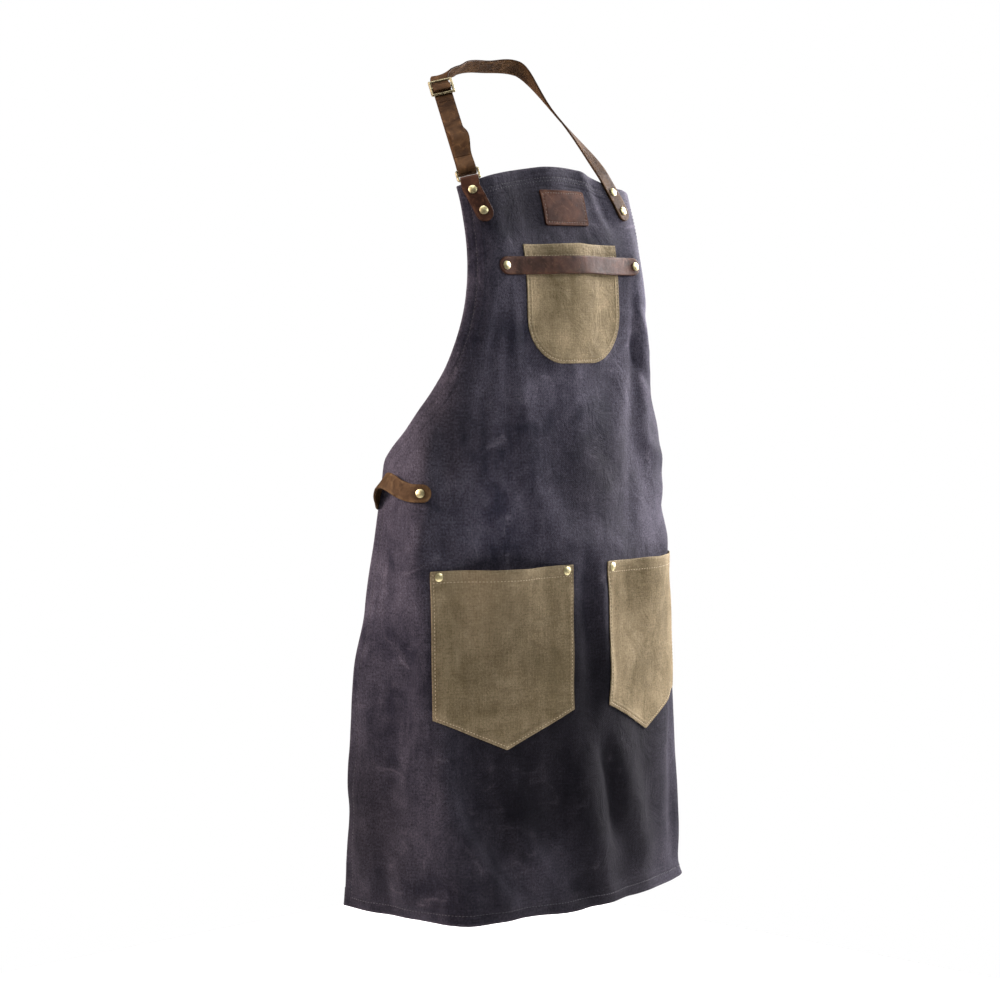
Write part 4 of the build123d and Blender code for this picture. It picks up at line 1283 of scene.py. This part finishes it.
def make_ring_tab():
    """Riveted tab, folded round the ring's lower bar and down behind the canvas."""
    low, high = -TAB_RIVET_SPACING / 2 - TAB_END, TAB_RIVET_SPACING / 2 + 3
    seats = [seat_plane(TAB_SEAT, y) for y in np.linspace(low, high, 9)]
    front = [seat.point(z=LAID_MIDDLE) for seat in seats]
    back = [seat.point(z=-LAID_MIDDLE - CURVE_ROOM) for seat in seats]
    tab = seat_plane(TAB_SEAT, TAB_RIVET_SPACING / 2)
    turn = Plane(ring_plane().origin, tab.x, tab.z).half_turn(WRAP_MIDDLE, 17)
    across = [seat.x for seat in seats]
    piece = make_strap("ring_tab_leather", front + turn + back[::-1],
                       across + [tab.x] * len(turn) + across[::-1], leather["dark"],
                       round_start=True, round_end=True, step=1.2)
    belongs(piece, "apron", "leather", "ring_tab")


def neck_keys():
    """(point, pull, direction across) of the neck strap, from the bib's edge to the right leg."""
    high = seat_plane(STRAP_SEAT, STRAP_LEAVES_AT)
    leg = leg_plane().shifted(z=-WRAP_MIDDLE)
    neck_left = Vector((NECK_HALF_WIDTH, NECK_SIDE_DEPTH, NECK_REST.z))
    neck_right = Vector((-NECK_HALF_WIDTH, NECK_SIDE_DEPTH, NECK_REST.z - NECK_RIGHT_DROP))
    return [
        (high.point(z=LAID_MIDDLE), high.y * 60, -high.x),
        (NECK_FRONT, Vector((-30, 50, 66)), Vector((-0.8, -0.6, 0.09))),
        (neck_left, Vector((-34, 22, 14)), Vector((-0.3, -0.55, 0.75))),
        (NECK_REST + Vector((0, LEATHER / 2, 0)), Vector((-48, 0, 0)), Vector((0, -0.8, 0.6))),
        (neck_right, Vector((-34, -12, -16)), Vector((0.35, -0.6, 0.7))),
        (leg.point(y=LEG_LENGTH + SLIDER_PITCH + 4), leg.y * -40, leg.x),
        (leg.point(y=LEG_CUT), leg.y * -LEG_LENGTH, leg.x),
    ]


def ring_fold_points():
    """Middle of the strap's loose fold round the ring's upper bar, from the inner leg outwards."""
    leg = leg_plane()
    radius = FOLD_INSIDE + LEATHER / 2
    drop = leg.y * -LEG_CUT
    inner, outer = leg.point(y=LEG_CUT, z=-WRAP_MIDDLE), leg.point(y=LEG_CUT, z=WRAP_MIDDLE)
    points = [hermite(inner, leg.point(z=-radius), drop, drop, i / 6) for i in range(1, 6)]
    points += leg.half_turn(-radius, 13)
    points += [hermite(leg.point(z=radius), outer, -drop, -drop, i / 6) for i in range(1, 7)]
    return points


def make_neck_strap():
    """Neck strap, from its rivets on the wearer's left round the neck to its fold at the ring."""
    low = -TAB_RIVET_SPACING / 2 - TAB_END
    seats = [seat_plane(STRAP_SEAT, y) for y in np.linspace(low, STRAP_LEAVES_AT, 8)[:-1]]
    points = [seat.point(z=LAID_MIDDLE) for seat in seats]
    widths = [-seat.x for seat in seats]
    keys = neck_keys()
    for (start, pull, across), (end, end_pull, end_across) in zip(keys, keys[1:]):
        steps = max(2, round((end - start).length / 9))
        for i in range(steps):
            u = i / steps
            ease = u * u * (3 - 2 * u)
            points.append(hermite(start, end, pull, end_pull, u))
            widths.append(across * (1 - ease) + end_across * ease)
    fold = ring_fold_points()
    points += [keys[-1][0]] + fold
    widths += [keys[-1][2]] * (1 + len(fold))
    piece = make_strap("neck_strap_leather", points, widths, leather["strap"], round_start=True,
                       step=1.8)
    belongs(piece, "apron", "leather", "neck_strap")


def make_return_leg():
    """Outer leg, from its fold at the ring up towards the slider, with some slack near the ring."""
    leg = leg_plane()
    low = leg.point(y=LEG_CUT, z=WRAP_MIDDLE)
    high = leg.point(y=LEG_LENGTH - FOLD_BACK, z=SLIDER_STAND_OFF - WRAP_MIDDLE)
    pull = leg.y * LEG_LENGTH
    points = []
    for u in np.linspace(0, 1, 24):
        slack = math.sin(math.pi * min(u / LEG_SLACK_SHARE, 1)) ** 2
        off = leg.z * (LEG_SLACK * slack) + leg.x * (LEG_ASIDE * slack)
        points.append(hermite(low, high, pull, pull, u) + off)
    piece = make_strap("return_leg_leather", points, [leg.x] * 24, leather["strap"])
    belongs(piece, "apron", "leather", "strap_return_leg")
    tuple(leg.y)
    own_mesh(piece)


def make_end_fold():
    """The strap's end, folded over the slider's middle bar."""
    plane = leg_plane().shifted(y=LEG_LENGTH, z=SLIDER_STAND_OFF)
    points = [plane.point(y=y, z=WRAP_MIDDLE) for y in np.linspace(-FOLD_FRONT, -0.5, 4)]
    points += plane.half_turn(WRAP_MIDDLE, 15)
    points += [plane.point(y=y, z=-WRAP_MIDDLE) for y in np.linspace(-0.5, -FOLD_BACK, 8)]
    piece = make_strap("end_fold_leather", points, [plane.x] * len(points), leather["strap"],
                       step=1.0)
    belongs(piece, "slider", "leather", "strap_end_fold")


def make_chest_strap():
    """Strap that bows forward over the chest pocket between its two rivets."""
    across = np.linspace(-CHEST_STRAP_HALF_LENGTH, CHEST_STRAP_HALF_LENGTH, 60)
    seam = CHEST_RIVET_AT - CHEST_STRAP_FLAT / 2
    bow = (0.5 + 0.5 * np.cos(math.pi * np.clip(across / seam, -1, 1))) ** BOW_ROUNDNESS
    points = cloth.at(across, CHEST_STRAP_HEIGHT, LAID_MIDDLE + CHEST_STRAP_BOW * bow)
    above, below = (cloth.at(across, CHEST_STRAP_HEIGHT + up) for up in (5, -5))
    piece = make_strap("chest_strap_leather", points, below - above, leather["dark"],
                       round_start=True, round_end=True, step=2.5)
    belongs(piece, "apron", "leather", "chest_strap")


def make_patch():
    """Stitched leather patch with rounded corners."""
    half, thick = np.array([PATCH["width"], PATCH["height"]]) / 2, PATCH["thickness"]
    spread_out = -np.cos(np.linspace(0, math.pi, 44))
    place = np.stack(np.meshgrid(*(side * spread_out for side in half)), axis=-1)
    straight = half - PATCH_CORNER
    past = np.clip(np.abs(place) - straight, 0, None)
    diagonal = np.maximum(np.linalg.norm(past, axis=-1, keepdims=True), 1e-6)
    rounded = np.sign(place) * (straight + past * past.max(axis=-1, keepdims=True) / diagonal)
    place = np.where(past.min(axis=-1, keepdims=True) > 0, rounded, place)
    distance = (half - np.abs(place)).min(axis=-1).clip(0)
    groove = PATCH_GROOVE * np.exp(-((distance - PATCH_STITCH) / 1.1) ** 2)
    out = CANVAS_FACE + SEWN_GAP + thick / 2 - groove
    x, height = place[..., 0], PATCH["middle"] + place[..., 1]
    piece = make_shell("label_patch_leather", cloth.at(x, height, out), cloth.normal(x, height),
                       thick, leather["patch"], distance, on_cloth(x, height))
    belongs(piece, "apron", "leather", "label_patch")
    corners = np.array([(-1, -1), (1, -1), (1, 1), (-1, 1)]) * (half - PATCH_STITCH)
    corners += (0, PATCH["middle"])
    lines = [cloth_line(*np.linspace(start, end, 40).T, CANVAS_FACE + SEWN_GAP + thick - 0.1)
             for start, end in zip(corners, np.roll(corners, -1, axis=0))]
    belongs(make_stitches("label_patch_stitches", lines, thread["brown"]), "apron", "leather")


# Front of a waist loop: across from its rivet, up, out from the canvas, twist in degrees.
LOOP_ARCH = [
    (-11, 0, 0, 0), (0, 0, 0, 0), (11, 0.4, 0.3, 0), (24, 4, 4, -5), (38, 9, 7.5, -16),
    (50, 10.5, 9.5, -27), (61, 7, 9, -32), (71, 0, 6.5, -22), (79, -8, 2.5, -6),
]


def make_waist_loop(side, name):
    """Leather loop: out from its rivet in an arch, round the canvas's edge and back inside."""
    edge = float(half_width(LOOP_HEIGHT)) + LOOP_PAST_EDGE / 2
    inner = LOOP_RIVET_ACROSS - LOOP_END
    points, widths = [], []
    for past, up, out, twist in LOOP_ARCH:
        seat = cloth_plane(side * (LOOP_RIVET_ACROSS + past), LOOP_HEIGHT + up)
        twist = math.radians(twist)
        points.append(seat.point(z=LOOP_MIDDLE + out))
        widths.append(seat.y * math.cos(twist) + seat.z * math.sin(twist))
    tip = cloth_plane(side * edge, LOOP_HEIGHT - LOOP_DROOP)
    points += [tip.point(z=0.8), tip.point(x=side * 0.6, z=-1.6)]
    widths += [tip.y, tip.y]
    for away in np.linspace(1, 0, 14):
        across = inner + (edge - 4 - inner) * away
        seat = cloth_plane(side * across, LOOP_HEIGHT - LOOP_DROOP * away ** 3)
        points.append(seat.point(z=-(LOOP_MIDDLE + CURVE_ROOM + LOOP_BEHIND * away)))
        widths.append(seat.y)
    piece = make_strap(f"{name}_leather", points, widths, leather["loop"], round_start=True,
                       round_end=True)
    belongs(piece, name, "leather", name)


# ---------------- hardware


def finish_hardware():
    """Brass on the CAD's own rivets, ring and slider."""
    for name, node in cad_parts.items():
        if "rivet" in name or name in ("strap_ring", "slider"):
            slot, metal = ("brass", brass) if "rivet" in name else ("antique_brass", antique_brass)
            node.data.materials.clear()
            node.data.materials.append(metal)


# ---------------- studio


# Name, place, width and height in metres, power, tint.
AREA_LIGHTS = [
    ("side_light_right", (-1.8, 0.9, 0.45), (1.1, 1.0), 84, (1.0, 0.81, 0.76)),
    ("side_light_left", (2.0, -0.3, 0.3), (1.0, 1.2), 180, (1.0, 0.96, 0.98)),
    ("front_fill", (1.3, -2.0, 0.8), (0.7, 0.7), 31, (0.96, 0.97, 1.0)),
]
LIGHTS_AIM = (0, -0.09, -0.35)
OVERHEAD_STRENGTH = 2.5
OVERHEAD_SOFTNESS = 50.0    # degrees
OVERHEAD_TILT = -3.0
GLOW = 0.10                 # of the backdrop on the object
FLOOR_HALF_SIZE = 1.5
CAMERA_PLACE = (-2.3335, -2.3215, -0.265)
CAMERA_AIM = (0.020, -0.008, -0.4935)
FOCAL_LENGTH = 103.6


def make_floor():
    """Pale floor, well below the hem."""
    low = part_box("apron_body")[0].z - FLOOR_DROP
    mesh = bpy.data.meshes.new("studio_floor")
    corners = [(x * FLOOR_HALF_SIZE, y * FLOOR_HALF_SIZE, low)
               for x, y in ((-1, -1), (1, -1), (1, 1), (-1, 1))]
    mesh.from_pydata(corners, [], [(0, 1, 2, 3)])
    mesh.materials.append(floor_material())
    add_object("studio_floor", mesh)


def aim(thing, place, target):
    """Puts a light or a camera at a place, facing a target."""
    thing.location = place
    thing.rotation_euler = (Vector(target) - thing.location).to_track_quat("-Z", "Y").to_euler()


def make_lights():
    """Large soft lights from both sides and the front, and a soft one overhead."""
    for name, place, size, power, tint in AREA_LIGHTS:
        data = bpy.data.lights.new(name, "AREA")
        data.shape = "RECTANGLE"
        data.size, data.size_y = size
        data.energy = power
        data.color = tint
        aim(add_object(name, data), place, LIGHTS_AIM)
    data = bpy.data.lights.new("overhead", "SUN")
    data.energy = OVERHEAD_STRENGTH
    data.angle = math.radians(OVERHEAD_SOFTNESS)
    tilt = math.radians(OVERHEAD_TILT)
    add_object("overhead", data).rotation_euler = (tilt, tilt, 0)


def make_world():
    """White backdrop, with a dimmer glow on the object so that its shadows stay deep."""
    world = bpy.data.worlds.new("studio")
    bpy.context.scene.world = world
    world.use_nodes = True
    tree = world.node_tree
    background = tree.nodes["Background"]
    background.inputs["Color"].default_value = (1, 1, 1, 1)
    seen = tree.nodes.new("ShaderNodeLightPath").outputs["Is Camera Ray"]
    strength = tree.nodes.new("ShaderNodeMapRange")
    strength.inputs["To Min"].default_value = GLOW
    tree.links.new(seen, strength.inputs["Value"])
    tree.links.new(strength.outputs[0], background.inputs["Strength"])


def make_camera():
    """Camera at the photograph's viewing angle."""
    data = bpy.data.cameras.new("camera")
    data.sensor_width = 36
    data.lens = FOCAL_LENGTH
    data.clip_end = 100
    camera = add_object("camera", data)
    aim(camera, CAMERA_PLACE, CAMERA_AIM)
    bpy.context.scene.camera = camera
    bpy.context.scene.view_settings.view_transform = "Standard"


# ---------------- the whole apron


def make_apron():
    hang_folds()
    cloth.shift(spread(simulate_canvas()))
    make_canvas()
    for pocket in POCKETS:
        make_pocket(pocket)
    make_chest_strap()
    make_patch()
    make_ring_tab()
    make_neck_strap()
    make_return_leg()
    make_end_fold()
    make_waist_loop(-1, "waist_loop_right")
    make_waist_loop(1, "waist_loop_left")
    finish_hardware()


make_camera()
make_world()
make_lights()
make_floor()
make_apron()
